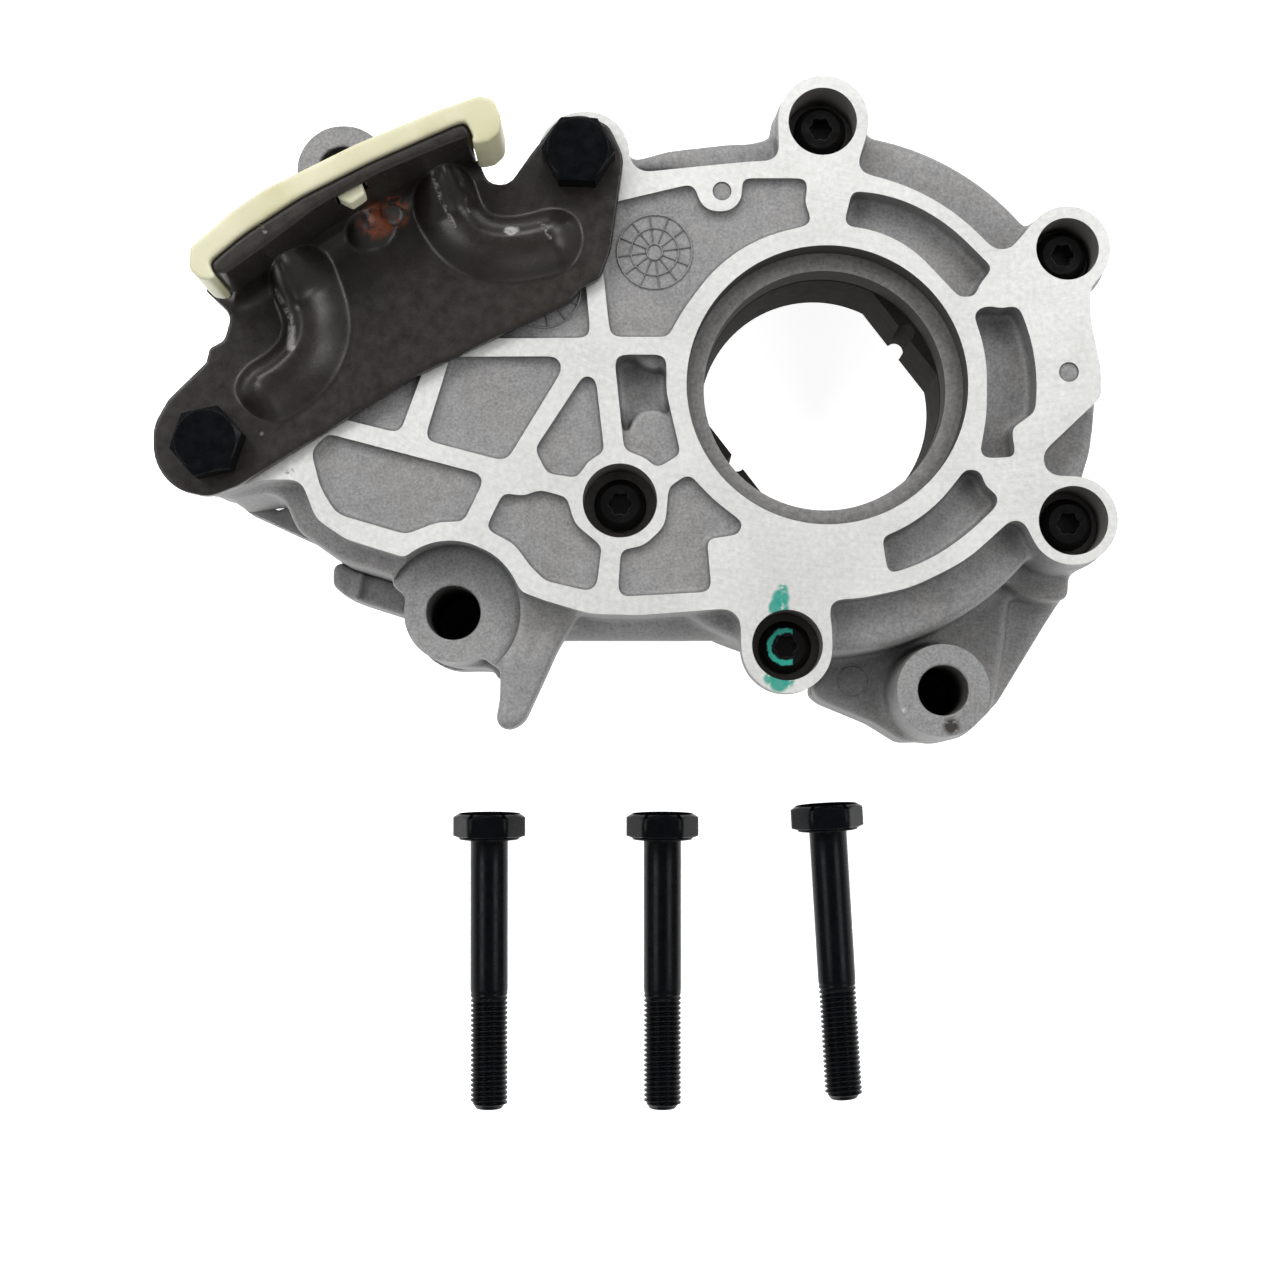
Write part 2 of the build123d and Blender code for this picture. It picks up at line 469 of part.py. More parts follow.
# ---- rear cover -----------------------------------------------------------------
cover = lower_plan(0, COVER_T)
cover += cyl(0, 0, 0, COVER_T, CASING_R)
cover += prism(LEDGE_TOP, 0, COVER_T) + prism(LEDGE_RIGHT, 0, COVER_T) + prism(RAIL, 0, COVER_T) + prism(LUG, 0, COVER_T)
cover += box(-50.0, -14.0, RELIEF_Y - 5.0, RELIEF_Y + 5.0, 0, COVER_T)
cover += prism([(-119.0, -17.5, 1.0), (-114.8, -20.7, 6.0), (-104.6, -25.4, 20.0), (-92.0, -31.0, 2.0), (-84.0, -33.0, 0),
                (-84.0, -20.0, 0), (-112.0, -10.0, 0)], 0, COVER_T)
for i, (x, y, r) in enumerate(SCREWS):
    cover += cone(x, y, 0, COVER_T, 6.3, 6.8) if i == 3 else cyl(x, y, 0, COVER_T, 8.6)
for mx, my, hr, br in MOUNTS:
    cover += cyl(mx, my, 0, COVER_T, br + 0.4)
cover += prism([(-99.0, 36.0, 1), (-87.5, 36.0, 1), (-86.0, 26.0, 1), (-101.0, 24.0, 1)], 0, COVER_T)
# as-cast tab with its rib
tab = round_edges(prism(TAB, 0, 14.0), 14.0, 0.9)
tab += prism([(-91.2, -31.0, 0.3), (-89.9, -31.3, 0.3), (-91.4, -39.2, 0.4), (-92.8, -38.9, 0.4)], 12.0, 15.3)
tab -= prism(RAIL, COVER_T, 20) + prism(FACE, COVER_T, 20) + cyl(MOUNTS[0][0], MOUNTS[0][1], COVER_T, 20, MOUNTS[0][3] + 0.02)
cover += tab
cover += prism(WEB_C, 0, COVER_T)
cover -= cyl(-109.14, -18.05, -1, COVER_T + 1, 2.0)
# crank bore and the hub's recess
cover -= cyl(0, 0, -1, COVER_T + 1, REAR_BORE_R)
cover -= cyl(0, 0, HUB_Z, COVER_T + 1, HUB_R + HUB_CLEAR)
# mounting holes
for mx, my, hr, br in MOUNTS:
    cover -= cyl(mx, my, -1, COVER_T + 8, hr)
# tapped holes of the cover screws
for x, y, r in SCREWS:
    cover -= cyl(x, y, 0.8, COVER_T + 1, SCREW_R)
# ports
IN_X, IN_Y = polar(38.5, 120.0)
OUT_X, OUT_Y = polar(38.5, -60.0)
PORT_Z = 3.2
cover -= kidney(30.8, 40.2, 64, 176, PORT_Z, COVER_T + 1)
cover -= kidney(30.8, 40.2, -104, -20, PORT_Z, COVER_T + 1)
cover -= cyl(IN_X, IN_Y, -1, PORT_Z, 7.0) + cyl(IN_X, IN_Y, PORT_Z, PORT_Z + 1.2, 7.85)
cover -= cyl(OUT_X, OUT_Y, -1, PORT_Z, 6.0) + cyl(OUT_X, OUT_Y, PORT_Z, PORT_Z + 1.2, 6.8)
cover -= cyl(IN_X, IN_Y, -1, 2.0, 10.6) - cyl(IN_X, IN_Y, -2, 3, 8.6)
cover -= cyl(OUT_X, OUT_Y, -1, 2.0, 9.6) - cyl(OUT_X, OUT_Y, -2, 3, 7.6)
# channel to the relief valve
cover -= prism([(-9.0, -39.4, 1.5), (-9.0, -34.6, 1.5), (-27.0, -37.0, 2.0), (-31.8, -37.0, 2.0), (-31.8, -42.0, 2.0), (-27.0, -42.0, 2.0)],
               4.6, COVER_T + 1)
# rear lightening pockets with ribs between them
for pts, k in ((POCKET_B, 0.80), (POCKET_C, 0.78), (POCKET_E, 0.80)):
    cover -= prism(shrink(pts, k), -1, 4.5)
# cross-drilled gallery ends, closed with pressed balls
BALLS = [(12.0, -45.5), (44.5, -10.0)]
for x, y in BALLS:
    cover -= cyl(x, y, -1, 5.2, 2.5)
for x, y in DOWELS:
    cover -= cyl(x, y, 3.0, COVER_T + 1, 2.5)
rear_cover = cover
save(rear_cover, "rear_cover")

# ---- rotors ---------------------------------------------------------------------
n_pt = 40 * LOBES
pts = []
for k in range(n_pt):
    t = 2 * math.pi * k / n_pt
    m = LOBES + 1
    cx = TOOTH_PITCH_R * math.cos(t) + ECC * math.cos(m * t)
    cy = TOOTH_PITCH_R * math.sin(t) + ECC * math.sin(m * t)
    tx = -TOOTH_PITCH_R * math.sin(t) - m * ECC * math.sin(m * t)
    ty = TOOTH_PITCH_R * math.cos(t) + m * ECC * math.cos(m * t)
    tl = math.hypot(tx, ty)
    off = TOOTH_R + ROTOR_GAP
    pts.append((cx - ty / tl * off, cy + tx / tl * off))
lobed = Face(Wire([Spline(*pts, periodic=True)]))
inner = Pos(0, 0, COVER_T + END_GAP) * extrude(lobed, amount=ROOF_Z - COVER_T - 2 * END_GAP, dir=(0, 0, 1))
inner += cyl(0, 0, HUB_Z + END_GAP, COVER_T + 1, HUB_R)
drive = cyl(0, 0, HUB_Z - 1, ROOF_Z + 1, DRIVE_R)
for a in (DRIVE_DIR, DRIVE_DIR + 180):
    fx, fy = polar(DRIVE_FLAT + 10.0, a)
    drive -= Pos(fx, fy, 16.0) * Rot(0, 0, a) * Box(20.0, 60.0, 40.0)
for a in (DRIVE_DIR, DRIVE_DIR + 180):
    nx, ny = polar(DRIVE_FLAT + 0.2, a)
    drive += cyl(nx, ny, HUB_Z - 1, ROOF_Z + 1, NOTCH_R)
drive += cone(0, 0, ROOF_Z - END_GAP - 0.6, ROOF_Z, DRIVE_R, DRIVE_R + 0.65)
inner -= drive
save(inner, "inner_rotor")

tooth_gap = cyl(ex, ey, COVER_T - 1, ROOF_Z + 1, OUTER_ROOT_R)
for j in range(LOBES + 1):
    a = (ECC_DIR + 360.0 * j) / (LOBES + 1)
    px_, py_ = polar(TOOTH_PITCH_R, a)
    tooth_gap -= cyl(ex + px_, ey + py_, COVER_T - 2, ROOF_Z + 2, TOOTH_R)
outer = cyl(ex, ey, COVER_T + END_GAP, ROOF_Z - END_GAP, OUTER_R) - tooth_gap
save(outer, "outer_rotor")

# ---- cover screws ---------------------------------------------------------------
def star(r0, r1, n, x, y, z0, z1):
    p = []
    for k in range(2 * n):
        a = 180.0 * k / n
        r = r0 if k % 2 else r1
        q = polar(r, a)
        p.append((x + q[0], y + q[1], 0.55))
    return prism(p, z0, z1)


screws = []
for x, y, r in SCREWS:
    s = cyl(x, y, SCREW_SEAT_Z, SCREW_SEAT_Z + 3.4, SCREW_HEAD_R)
    s += cone(x, y, SCREW_SEAT_Z + 3.4, SCREW_SEAT_Z + SCREW_HEAD_H, SCREW_HEAD_R, SCREW_HEAD_R - 1.3)
    s += cyl(x, y, 1.2, SCREW_SEAT_Z + 1, SCREW_R - 0.02)
    s -= star(1.85, 2.45, 6, x, y, SCREW_SEAT_Z + 2.6, SCREW_SEAT_Z + SCREW_HEAD_H + 1)
    screws.append(s)
save(Compound(children=screws), "cover_screws")

# ---- dowels, seals, balls, strainer ----------------------------------------------
save(Compound(children=[cyl(x, y, 3.0, 13.0, 2.5) for x, y in DOWELS]), "cover_dowels")
save(cyl(IN_X, IN_Y, 0.0, 2.0, 10.6) - cyl(IN_X, IN_Y, -1, 3, 8.6), "inlet_seal")
save(cyl(OUT_X, OUT_Y, 0.0, 2.0, 9.6) - cyl(OUT_X, OUT_Y, -1, 3, 7.6), "outlet_seal")
save(Compound(children=[Pos(x, y, 2.7) * Sphere(2.5) for x, y in BALLS]), "gallery_balls")
mesh = cyl(IN_X, IN_Y, PORT_Z, PORT_Z + 0.8, 7.8)
holes = []
for i in range(-3, 4):
    for j in range(-3, 4):
        hx, hy = 2.0 * i + (1.0 if j % 2 else 0.0), 1.75 * j
        if math.hypot(hx, hy) < 5.9:
            holes.append(cyl(IN_X + hx, IN_Y + hy, 3.0, 4.4, 0.72))
mesh -= holes
save(mesh, "inlet_strainer")

# ---- relief valve ----------------------------------------------------------------
PIS_X1 = RELIEF_X1 - 0.5
PIS_X0 = PIS_X1 - 11.0
piston = xcyl(PIS_X0, PIS_X1, RELIEF_Y, RELIEF_Z, RELIEF_R - 0.02)
piston -= xcyl(PIS_X0 - 1, PIS_X1 - 3.0, RELIEF_Y, RELIEF_Z, 3.3)
piston -= xcyl(PIS_X1 - 2.2, PIS_X1 - 1.5, RELIEF_Y, RELIEF_Z, 6.0) - xcyl(PIS_X1 - 3.0, PIS_X1, RELIEF_Y, RELIEF_Z, 4.2)
save(piston, "relief_piston")
PLUG_IN = RELIEF_X0 + 5.3
SPR_X1 = PIS_X1 - 3.0
spr_len = SPR_X1 - PLUG_IN
wire_r = 0.4
turns = 8
path = Helix(pitch=(spr_len - 2 * wire_r) / turns, height=spr_len - 2 * wire_r, radius=2.6)
prof = Plane(origin=path @ 0, z_dir=path % 0) * Circle(wire_r)
spring = sweep(prof, path=path, is_frenet=True)
spring = Pos(PLUG_IN + wire_r, RELIEF_Y, RELIEF_Z) * Rot(0, 90, 0) * spring
save(spring, "relief_spring")
WASH_T = 1.0
washer = xcyl(RELIEF_X0 - WASH_T, RELIEF_X0, RELIEF_Y, RELIEF_Z, 7.6) - xcyl(RELIEF_X0 - 3, RELIEF_X0 + 3, RELIEF_Y, RELIEF_Z, 6.05)
save(washer, "relief_washer")
plug = xcyl(RELIEF_X0 - WASH_T - 3.0, RELIEF_X0 - WASH_T, RELIEF_Y, RELIEF_Z, 7.6)
plug += xcyl(RELIEF_X0 - WASH_T - 1, PLUG_IN, RELIEF_Y, RELIEF_Z, 5.98)
sock = prism([polar(3.46, 60 * k) + (0,) for k in range(6)], 0, 5.0)
plug -= Pos(RELIEF_X0 - WASH_T - 3.5, RELIEF_Y, RELIEF_Z) * Rot(0, 90, 0) * sock
save(plug, "relief_plug")

# ---- chain guide -----------------------------------------------------------------
plate = prism(BRACKET, FACE_Z, FACE_Z + PLATE_T)
flange_face = outline(FLANGE)
plate += Pos(0, 0, FACE_Z) * extrude(flange_face, amount=FLANGE_Z - FACE_Z, dir=(0, 0, 1))
for pts, top in ((RIB_R, 46.4), (RIB_L, 46.4)):
    plate += round_edges(prism(pts, FACE_Z + PLATE_T - 0.5, top), top, 2.6)
for x, y in GUIDE_BOLTS:
    plate -= cyl(x, y, FACE_Z - 1, 60.0, 4.3)
RIVET = (-82.3, 31.9)
plate -= cyl(RIVET[0], RIVET[1], FACE_Z - 1, FACE_Z + PLATE_T + 0.01, 1.5)
slot = [(-93.1, 36.4, 0), (-88.0, 38.9, 0), (-84.9, 31.9, 0), (-90.1, 28.9, 0)]
plate -= prism(slot, 56.0, 61.4)
save(plate, "guide_bracket")

shoe = prism(SHOE, SHOE_Z0, SHOE_Z1)
shoe -= Pos(0, 0, SHOE_Z0 - 2) * extrude(offset(flange_face, 0.03), amount=FLANGE_Z - SHOE_Z0 + 4, dir=(0, 0, 1))
shoe += prism([(-92.7, 36.2, 0.3), (-88.4, 38.5, 0.3), (-85.9, 33.0, 0), (-85.3, 31.0, 0.5), (-88.0, 29.15, 0.5), (-90.2, 30.3, 0.3)], 56.2, 61.2)
save(shoe, "guide_shoe")

bolts = []
for (x, y), turn in zip(GUIDE_BOLTS, (-2.0, 12.0)):
    b = hexagon(GUIDE_AF, FACE_Z + PLATE_T, FACE_Z + PLATE_T + GUIDE_HEAD_H, x, y, turn)
    b += cyl(x, y, 16.0, FACE_Z + PLATE_T + 1, 3.98)
    bolts.append(b)
save(Compound(children=bolts), "guide_bolts")

riv = cyl(RIVET[0], RIVET[1], FACE_Z, FACE_Z + PLATE_T + 0.5, 1.5) + round_edges(
    cyl(RIVET[0], RIVET[1], FACE_Z + PLATE_T, FACE_Z + PLATE_T + 1.4, 2.3), FACE_Z + PLATE_T + 1.4, 1.0)
save(riv, "guide_rivet")

# ---- loose mounting bolts, lying on the same surface -------------------------------
def loose_bolt(x, y_head, lean, name):
    """Bolt lying on a flat of its head and on its tip. y_head: outer end of the head."""
    r = LOOSE_AF / math.sqrt(3)
    b = hexagon(LOOSE_AF, -LOOSE_HEAD_H, 0, 0, 0, 0.0, False)
    b = b & (cyl(0, 0, -LOOSE_HEAD_H + 0.8, 0, r - 0.25) + cone(0, 0, -LOOSE_HEAD_H, -LOOSE_HEAD_H + 0.8, r - 1.25, r - 0.25))
    b += cyl(0, 0, -1, LOOSE_LEN - 1.2, LOOSE_R) + cone(0, 0, LOOSE_LEN - 1.2, LOOSE_LEN, LOOSE_R, LOOSE_R - 0.9)
    dip = math.degrees(math.asin((LOOSE_AF / 2 - LOOSE_R) / (LOOSE_LEN - 1.2)))
    # axis to -Y, flat of the head down, tip on the surface
    b = Rot(90, 0, 0) * b
    b = Rot(dip, 0, 0) * b
    b = Rot(0, 0, lean) * b
    low = b.bounding_box().min.Z
    top = b.bounding_box().max.Y
    b = Pos(x, y_head - top, -low) * b
    save(b, name)
    return b


loose_bolt(-66.0, -81.3, 0.0, "mounting_bolt_a")
loose_bolt(-31.0, -81.3, 0.0, "mounting_bolt_b")
loose_bolt(2.4, -79.3, 3.4, "mounting_bolt_c")
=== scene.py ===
"""Looks of the oil pump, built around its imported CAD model. Metres; lengths written in millimetres are scaled by MM."""
import math

import bpy
import bmesh
import numpy as np
from mathutils import Matrix, Vector


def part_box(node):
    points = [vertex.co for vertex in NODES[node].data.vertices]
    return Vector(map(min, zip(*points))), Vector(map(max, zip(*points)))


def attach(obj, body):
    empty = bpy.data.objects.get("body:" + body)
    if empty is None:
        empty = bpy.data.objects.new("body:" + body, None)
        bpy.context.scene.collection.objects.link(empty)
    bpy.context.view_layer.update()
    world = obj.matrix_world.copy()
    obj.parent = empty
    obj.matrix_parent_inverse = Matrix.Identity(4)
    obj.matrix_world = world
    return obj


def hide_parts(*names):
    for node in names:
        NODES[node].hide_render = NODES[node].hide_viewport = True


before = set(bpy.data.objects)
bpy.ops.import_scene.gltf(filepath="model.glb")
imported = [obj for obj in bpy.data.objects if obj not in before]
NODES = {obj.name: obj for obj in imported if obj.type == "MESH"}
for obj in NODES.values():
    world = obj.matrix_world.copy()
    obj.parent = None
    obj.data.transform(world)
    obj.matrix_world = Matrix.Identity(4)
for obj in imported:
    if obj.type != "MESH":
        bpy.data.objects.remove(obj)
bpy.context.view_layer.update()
MM = 0.001
scene = bpy.context.scene

MOUNTS = [(-71.43, -42.78, 5.17, 9.6), (22.66, -57.72, 4.80, 9.0), (-93.32, 43.39, 4.80, 9.1)]
SPOT_R = 13.0
SCREWS = [(-0.62, 50.70, 6.53), (45.84, 26.01, 5.96), (46.35, -25.96, 6.57), (-7.77, -49.53, 6.67), (-39.33, -22.16, 7.04)]
GUIDE_BOLTS = [(-47.17, 43.20, -2.0), (-116.37, -11.88, 12.0)]


# ---- shader helpers ---------------------------------------------------------------
class Mat:
    """A node material with short calls for the nodes that it uses."""

    def __init__(self, name):
        self.m = bpy.data.materials.new(name)
        self.m.use_nodes = True
        self.t = self.m.node_tree
        self.b = self.t.nodes["Principled BSDF"]
        self.co = self.n("ShaderNodeTexCoord").outputs["Object"]

    def n(self, kind, **kw):
        x = self.t.nodes.new(kind)
        for k, v in kw.items():
            setattr(x, k, v)
        return x

    def link(self, a, b):
        self.t.links.new(a, b)

    def set(self, **kw):
        names = {"color": "Base Color", "metallic": "Metallic", "rough": "Roughness", "spec": "Specular IOR Level", "sss": "Subsurface Weight",
                 "coat": "Coat Weight", "coat_rough": "Coat Roughness", "ior": "IOR", "trans": "Transmission Weight", "aniso": "Anisotropic"}
        for k, v in kw.items():
            s = self.b.inputs[names[k]]
            if hasattr(v, "is_linked"):
                self.link(v, s)
            else:
                s.default_value = tuple(v) + (1.0,) if k == "color" and len(v) == 3 else v
        return self

    def noise(self, scale, detail=4.0, rough=0.55, dist=0.0, co=None, w=None):
        x = self.n("ShaderNodeTexNoise", noise_dimensions="3D")
        x.inputs["Scale"].default_value = scale
        x.inputs["Detail"].default_value = detail
        x.inputs["Roughness"].default_value = rough
        x.inputs["Distortion"].default_value = dist
        self.link(co or self.co, x.inputs["Vector"])
        return x.outputs["Fac"]

    def voronoi(self, scale, feature="F1", co=None, rand=1.0):
        x = self.n("ShaderNodeTexVoronoi", feature=feature)
        x.inputs["Scale"].default_value = scale
        x.inputs["Randomness"].default_value = rand
        self.link(co or self.co, x.inputs["Vector"])
        return x.outputs["Distance"]

    def mapping(self, scale=(1, 1, 1), rot=(0, 0, 0), loc=(0, 0, 0)):
        x = self.n("ShaderNodeMapping")
        x.inputs["Scale"].default_value = scale
        x.inputs["Rotation"].default_value = rot
        x.inputs["Location"].default_value = loc
        self.link(self.co, x.inputs["Vector"])
        return x.outputs["Vector"]

    def range(self, v, a, b, c=0.0, d=1.0, smooth=False):
        x = self.n("ShaderNodeMapRange", interpolation_type="SMOOTHSTEP" if smooth else "LINEAR", clamp=True)
        self.link(v, x.inputs["Value"])
        for i, q in zip(("From Min", "From Max", "To Min", "To Max"), (a, b, c, d)):
            x.inputs[i].default_value = q
        return x.outputs["Result"]

    def math(self, op, a, b=None, clamp=False):
        x = self.n("ShaderNodeMath", operation=op, use_clamp=clamp)
        for i, q in enumerate((a, b)):
            if q is None:
                continue
            if hasattr(q, "is_linked"):
                self.link(q, x.inputs[i])
            else:
                x.inputs[i].default_value = q
        return x.outputs[0]

    def mix(self, fac, a, b):
        x = self.n("ShaderNodeMix", data_type="RGBA")
        ins = {"Factor": x.inputs[0], "A": x.inputs[6], "B": x.inputs[7]}
        for k, q in (("Factor", fac), ("A", a), ("B", b)):
            s = ins[k]
            if hasattr(q, "is_linked"):
                self.link(q, s)
            else:
                s.default_value = tuple(q) + (1.0,) if k != "Factor" and len(q) == 3 else q
        return x.outputs[2]

    def sep(self, co=None):
        x = self.n("ShaderNodeSeparateXYZ")
        self.link(co or self.co, x.inputs[0])
        return x.outputs

    def spot(self, x, y, r, soft, z=None, co=None):
        """1 inside a round patch about (x, y) mm, 0 outside, with a soft edge."""
        s = self.sep(co)
        dx = self.math("SUBTRACT", s[0], x * MM)
        dy = self.math("SUBTRACT", s[1], y * MM)
        d2 = self.math("ADD", self.math("MULTIPLY", dx, dx), self.math("MULTIPLY", dy, dy))
        if z is not None:
            dz = self.math("SUBTRACT", s[2], z * MM)
            d2 = self.math("ADD", d2, self.math("MULTIPLY", dz, dz))
        d = self.math("SQRT", d2)
        return self.range(d, (r - soft) * MM, (r + soft) * MM, 1.0, 0.0, True)

    def streak(self, x0, y0, x1, y1, half, soft):
        """1 on a line between two places (mm, seen from above), 0 off it."""
        s = self.sep()
        dx, dy = (x1 - x0) * MM, (y1 - y0) * MM
        px = self.math("SUBTRACT", s[0], x0 * MM)
        py = self.math("SUBTRACT", s[1], y0 * MM)
        n2 = dx * dx + dy * dy
        t = self.math("ADD", self.math("MULTIPLY", px, dx / n2), self.math("MULTIPLY", py, dy / n2), True)
        qx = self.math("SUBTRACT", px, self.math("MULTIPLY", t, dx))
        qy = self.math("SUBTRACT", py, self.math("MULTIPLY", t, dy))
        d = self.math("SQRT", self.math("ADD", self.math("MULTIPLY", qx, qx), self.math("MULTIPLY", qy, qy)))
        return self.range(d, (half - soft) * MM, (half + soft) * MM, 1.0, 0.0, True)

    def radius(self, x, y):
        """Distance from the upright line through (x, y) mm, in metres."""
        s = self.sep()
        dx = self.math("SUBTRACT", s[0], x * MM)
        dy = self.math("SUBTRACT", s[1], y * MM)
        return self.math("SQRT", self.math("ADD", self.math("MULTIPLY", dx, dx), self.math("MULTIPLY", dy, dy)))

    def corners(self, reach, lo=0.35, hi=0.85, samples=6):
        """1 deep in corners and recesses narrower than reach, 0 in the open: the mask for painted shade."""
        x = self.n("ShaderNodeAmbientOcclusion", samples=samples, only_local=True)
        x.inputs["Distance"].default_value = reach
        return self.range(x.outputs["AO"], lo, hi, 1.0, 0.0)

    def patches(self, col, paint):
        for x, y, r, soft, c, amount, scale, lo in paint:
            patch = self.math("MULTIPLY", self.spot(x, y, r, soft), self.range(self.noise(scale, 4, 0.6), lo, lo + 0.10))
            col = self.mix(self.math("MULTIPLY", patch, amount), col, c)
        return col

    def bump(self, height, strength, dist, normal=None):
        x = self.n("ShaderNodeBump")
        x.inputs["Strength"].default_value = strength
        x.inputs["Distance"].default_value = dist
        self.link(height, x.inputs["Height"])
        if normal is not None:
            self.link(normal, x.inputs["Normal"])
        return x.outputs["Normal"]

    def bevel(self, r, samples=4):
        x = self.n("ShaderNodeBevel", samples=samples)
        x.inputs["Radius"].default_value = r
        return x.outputs["Normal"]

    def normal(self, v):
        self.link(v, self.b.inputs["Normal"])
        return self


def cast_mat(name, tone=0.20, warm=0.0, grain=1.0, low=0.62, paint=()):
    """Die-cast aluminium after shot blasting: grey and grainy, with painted shade low down and in its corners."""
    m = Mat(name)
    fine = m.noise(1900, 2, 0.6)
    mid = m.noise(560, 4, 0.6)
    wide = m.noise(46, 3, 0.5)
    v = m.math("ADD", m.math("MULTIPLY", m.range(fine, 0.34, 0.66), 0.52), m.math("MULTIPLY", m.range(mid, 0.35, 0.65), 0.28))
    v = m.math("ADD", v, m.math("MULTIPLY", m.range(wide, 0.3, 0.7), 0.20))
    a = (tone * 0.48 * (1 + warm), tone * 0.48, tone * 0.48 * (1 - warm))
    b = (tone * 1.52 * (1 + warm), tone * 1.52, tone * 1.52 * (1 - warm))
    col = m.mix(v, a, b)
    warmth = m.range(m.noise(70, 2, 0.5), 0.42, 0.62)
    tint = m.mix(warmth, (tone * 1.03, tone * 0.995, tone * 0.96), (tone * 0.97, tone * 0.985, tone * 1.02))
    col = m.mix(0.30, col, tint)
    # Painted shade low down: colour darkened towards the bottom by 1 - low (none at low = 1.0).
    low_shade = m.range(m.sep()[2], 0.010, 0.031, 1.0, 0.0, True)
    col = m.mix(m.math("MULTIPLY", low_shade, 1 - low), col, (tone * 0.25, tone * 0.25, tone * 0.26))
    # Painted shade in corners and recesses.
    col = m.mix(m.math("MULTIPLY", m.corners(0.0026, 0.42, 0.88), 0.74), col, (tone * 0.13, tone * 0.13, tone * 0.14))
    pits = m.range(m.voronoi(330), 0.02, 0.10, 1.0, 0.0)
    keep = m.range(m.noise(160, 2, 0.5), 0.60, 0.70)
    col = m.mix(m.math("MULTIPLY", m.math("MULTIPLY", pits, keep), 0.5), col, (0.05, 0.046, 0.042))
    col = m.patches(col, paint)
    h = m.math("ADD", m.math("MULTIPLY", m.noise(2100, 2, 0.5), 0.7), m.math("MULTIPLY", m.noise(760, 3, 0.6), 0.6))
    m.set(color=col, metallic=0.30, rough=m.range(mid, 0.3, 0.7, 0.50, 0.64), spec=0.35)
    m.normal(m.bump(h, 0.5 * grain, 0.00012))
    return m.m


def machined_mat(name, tone=0.70, rough=0.36, paint=()):
    """Milled aluminium: bright, with fine mottling, faint cutter arcs and small rubbed places."""
    m = Mat(name)
    mott = m.noise(1000, 5, 0.7)
    cloud = m.noise(55, 3, 0.55)
    s = m.sep()
    r = m.radius(20.0, 140.0)
    comb = m.n("ShaderNodeCombineXYZ")
    m.link(m.math("MULTIPLY", r, 2600), comb.inputs[0])
    m.link(m.math("MULTIPLY", s[0], 60), comb.inputs[1])
    arcs = m.noise(1.0, 2, 0.55, co=comb.outputs[0])
    v = m.math("ADD", m.math("MULTIPLY", m.range(mott, 0.3, 0.7), 0.50), m.math("MULTIPLY", m.range(cloud, 0.3, 0.7), 0.34))
    v = m.math("ADD", v, m.math("MULTIPLY", m.range(arcs, 0.3, 0.7), 0.16))
    col = m.mix(v, (tone * 0.80, tone * 0.805, tone * 0.77), (tone * 1.22, tone * 1.22, tone * 1.18))
    rub = m.math("MULTIPLY", m.range(m.noise(240, 6, 0.7), 0.60, 0.72), m.range(m.noise(22, 2, 0.5), 0.45, 0.62))
    col = m.mix(m.math("MULTIPLY", rub, 0.35), col, (tone * 0.55, tone * 0.55, tone * 0.53))
    col = m.patches(col, paint)
    h = m.math("ADD", m.math("MULTIPLY", mott, 0.5), m.math("MULTIPLY", arcs, 0.7))
    m.set(color=col, metallic=0.35, rough=m.range(mott, 0.3, 0.7, rough - 0.05, rough + 0.08), spec=0.5)
    m.normal(m.bump(h, 0.12, 0.00006))
    return m.m


def turned_mat(name, tone=0.40, rough=0.36, lo=0.8, hi=1.15, metallic=0.6, corner_shade=0.0, warm=0.0, spec=0.4):
    """Turned or reamed wall and floor: rings about the crank axis with a grainy break-up."""
    m = Mat(name)
    s = m.sep()
    r = m.radius(0.0, 0.0)
    comb = m.n("ShaderNodeCombineXYZ")
    m.link(m.math("MULTIPLY", r, 5200), comb.inputs[0])
    m.link(m.math("MULTIPLY", s[2], 3800), comb.inputs[1])
    rings = m.noise(1.0, 2, 0.5, co=comb.outputs[0])
    mott = m.noise(1300, 4, 0.65)
    v = m.math("ADD", m.math("MULTIPLY", m.range(rings, 0.3, 0.7), 0.35), m.math("MULTIPLY", m.range(mott, 0.3, 0.7), 0.65))
    col = m.mix(v, (tone * lo * (1 + warm), tone * lo, tone * lo * (1 - warm)), (tone * hi * (1 + warm), tone * hi, tone * hi * (1 - warm)))
    # Painted shade in corners and recesses.
    if corner_shade:
        col = m.mix(m.math("MULTIPLY", m.corners(0.0035, 0.40, 0.92), corner_shade), col, (tone * 0.12, tone * 0.115, tone * 0.11))
    m.set(color=col, metallic=metallic, rough=rough, spec=spec)
    m.normal(m.bump(m.math("ADD", rings, mott), 0.15, 0.00005))
    return m.m


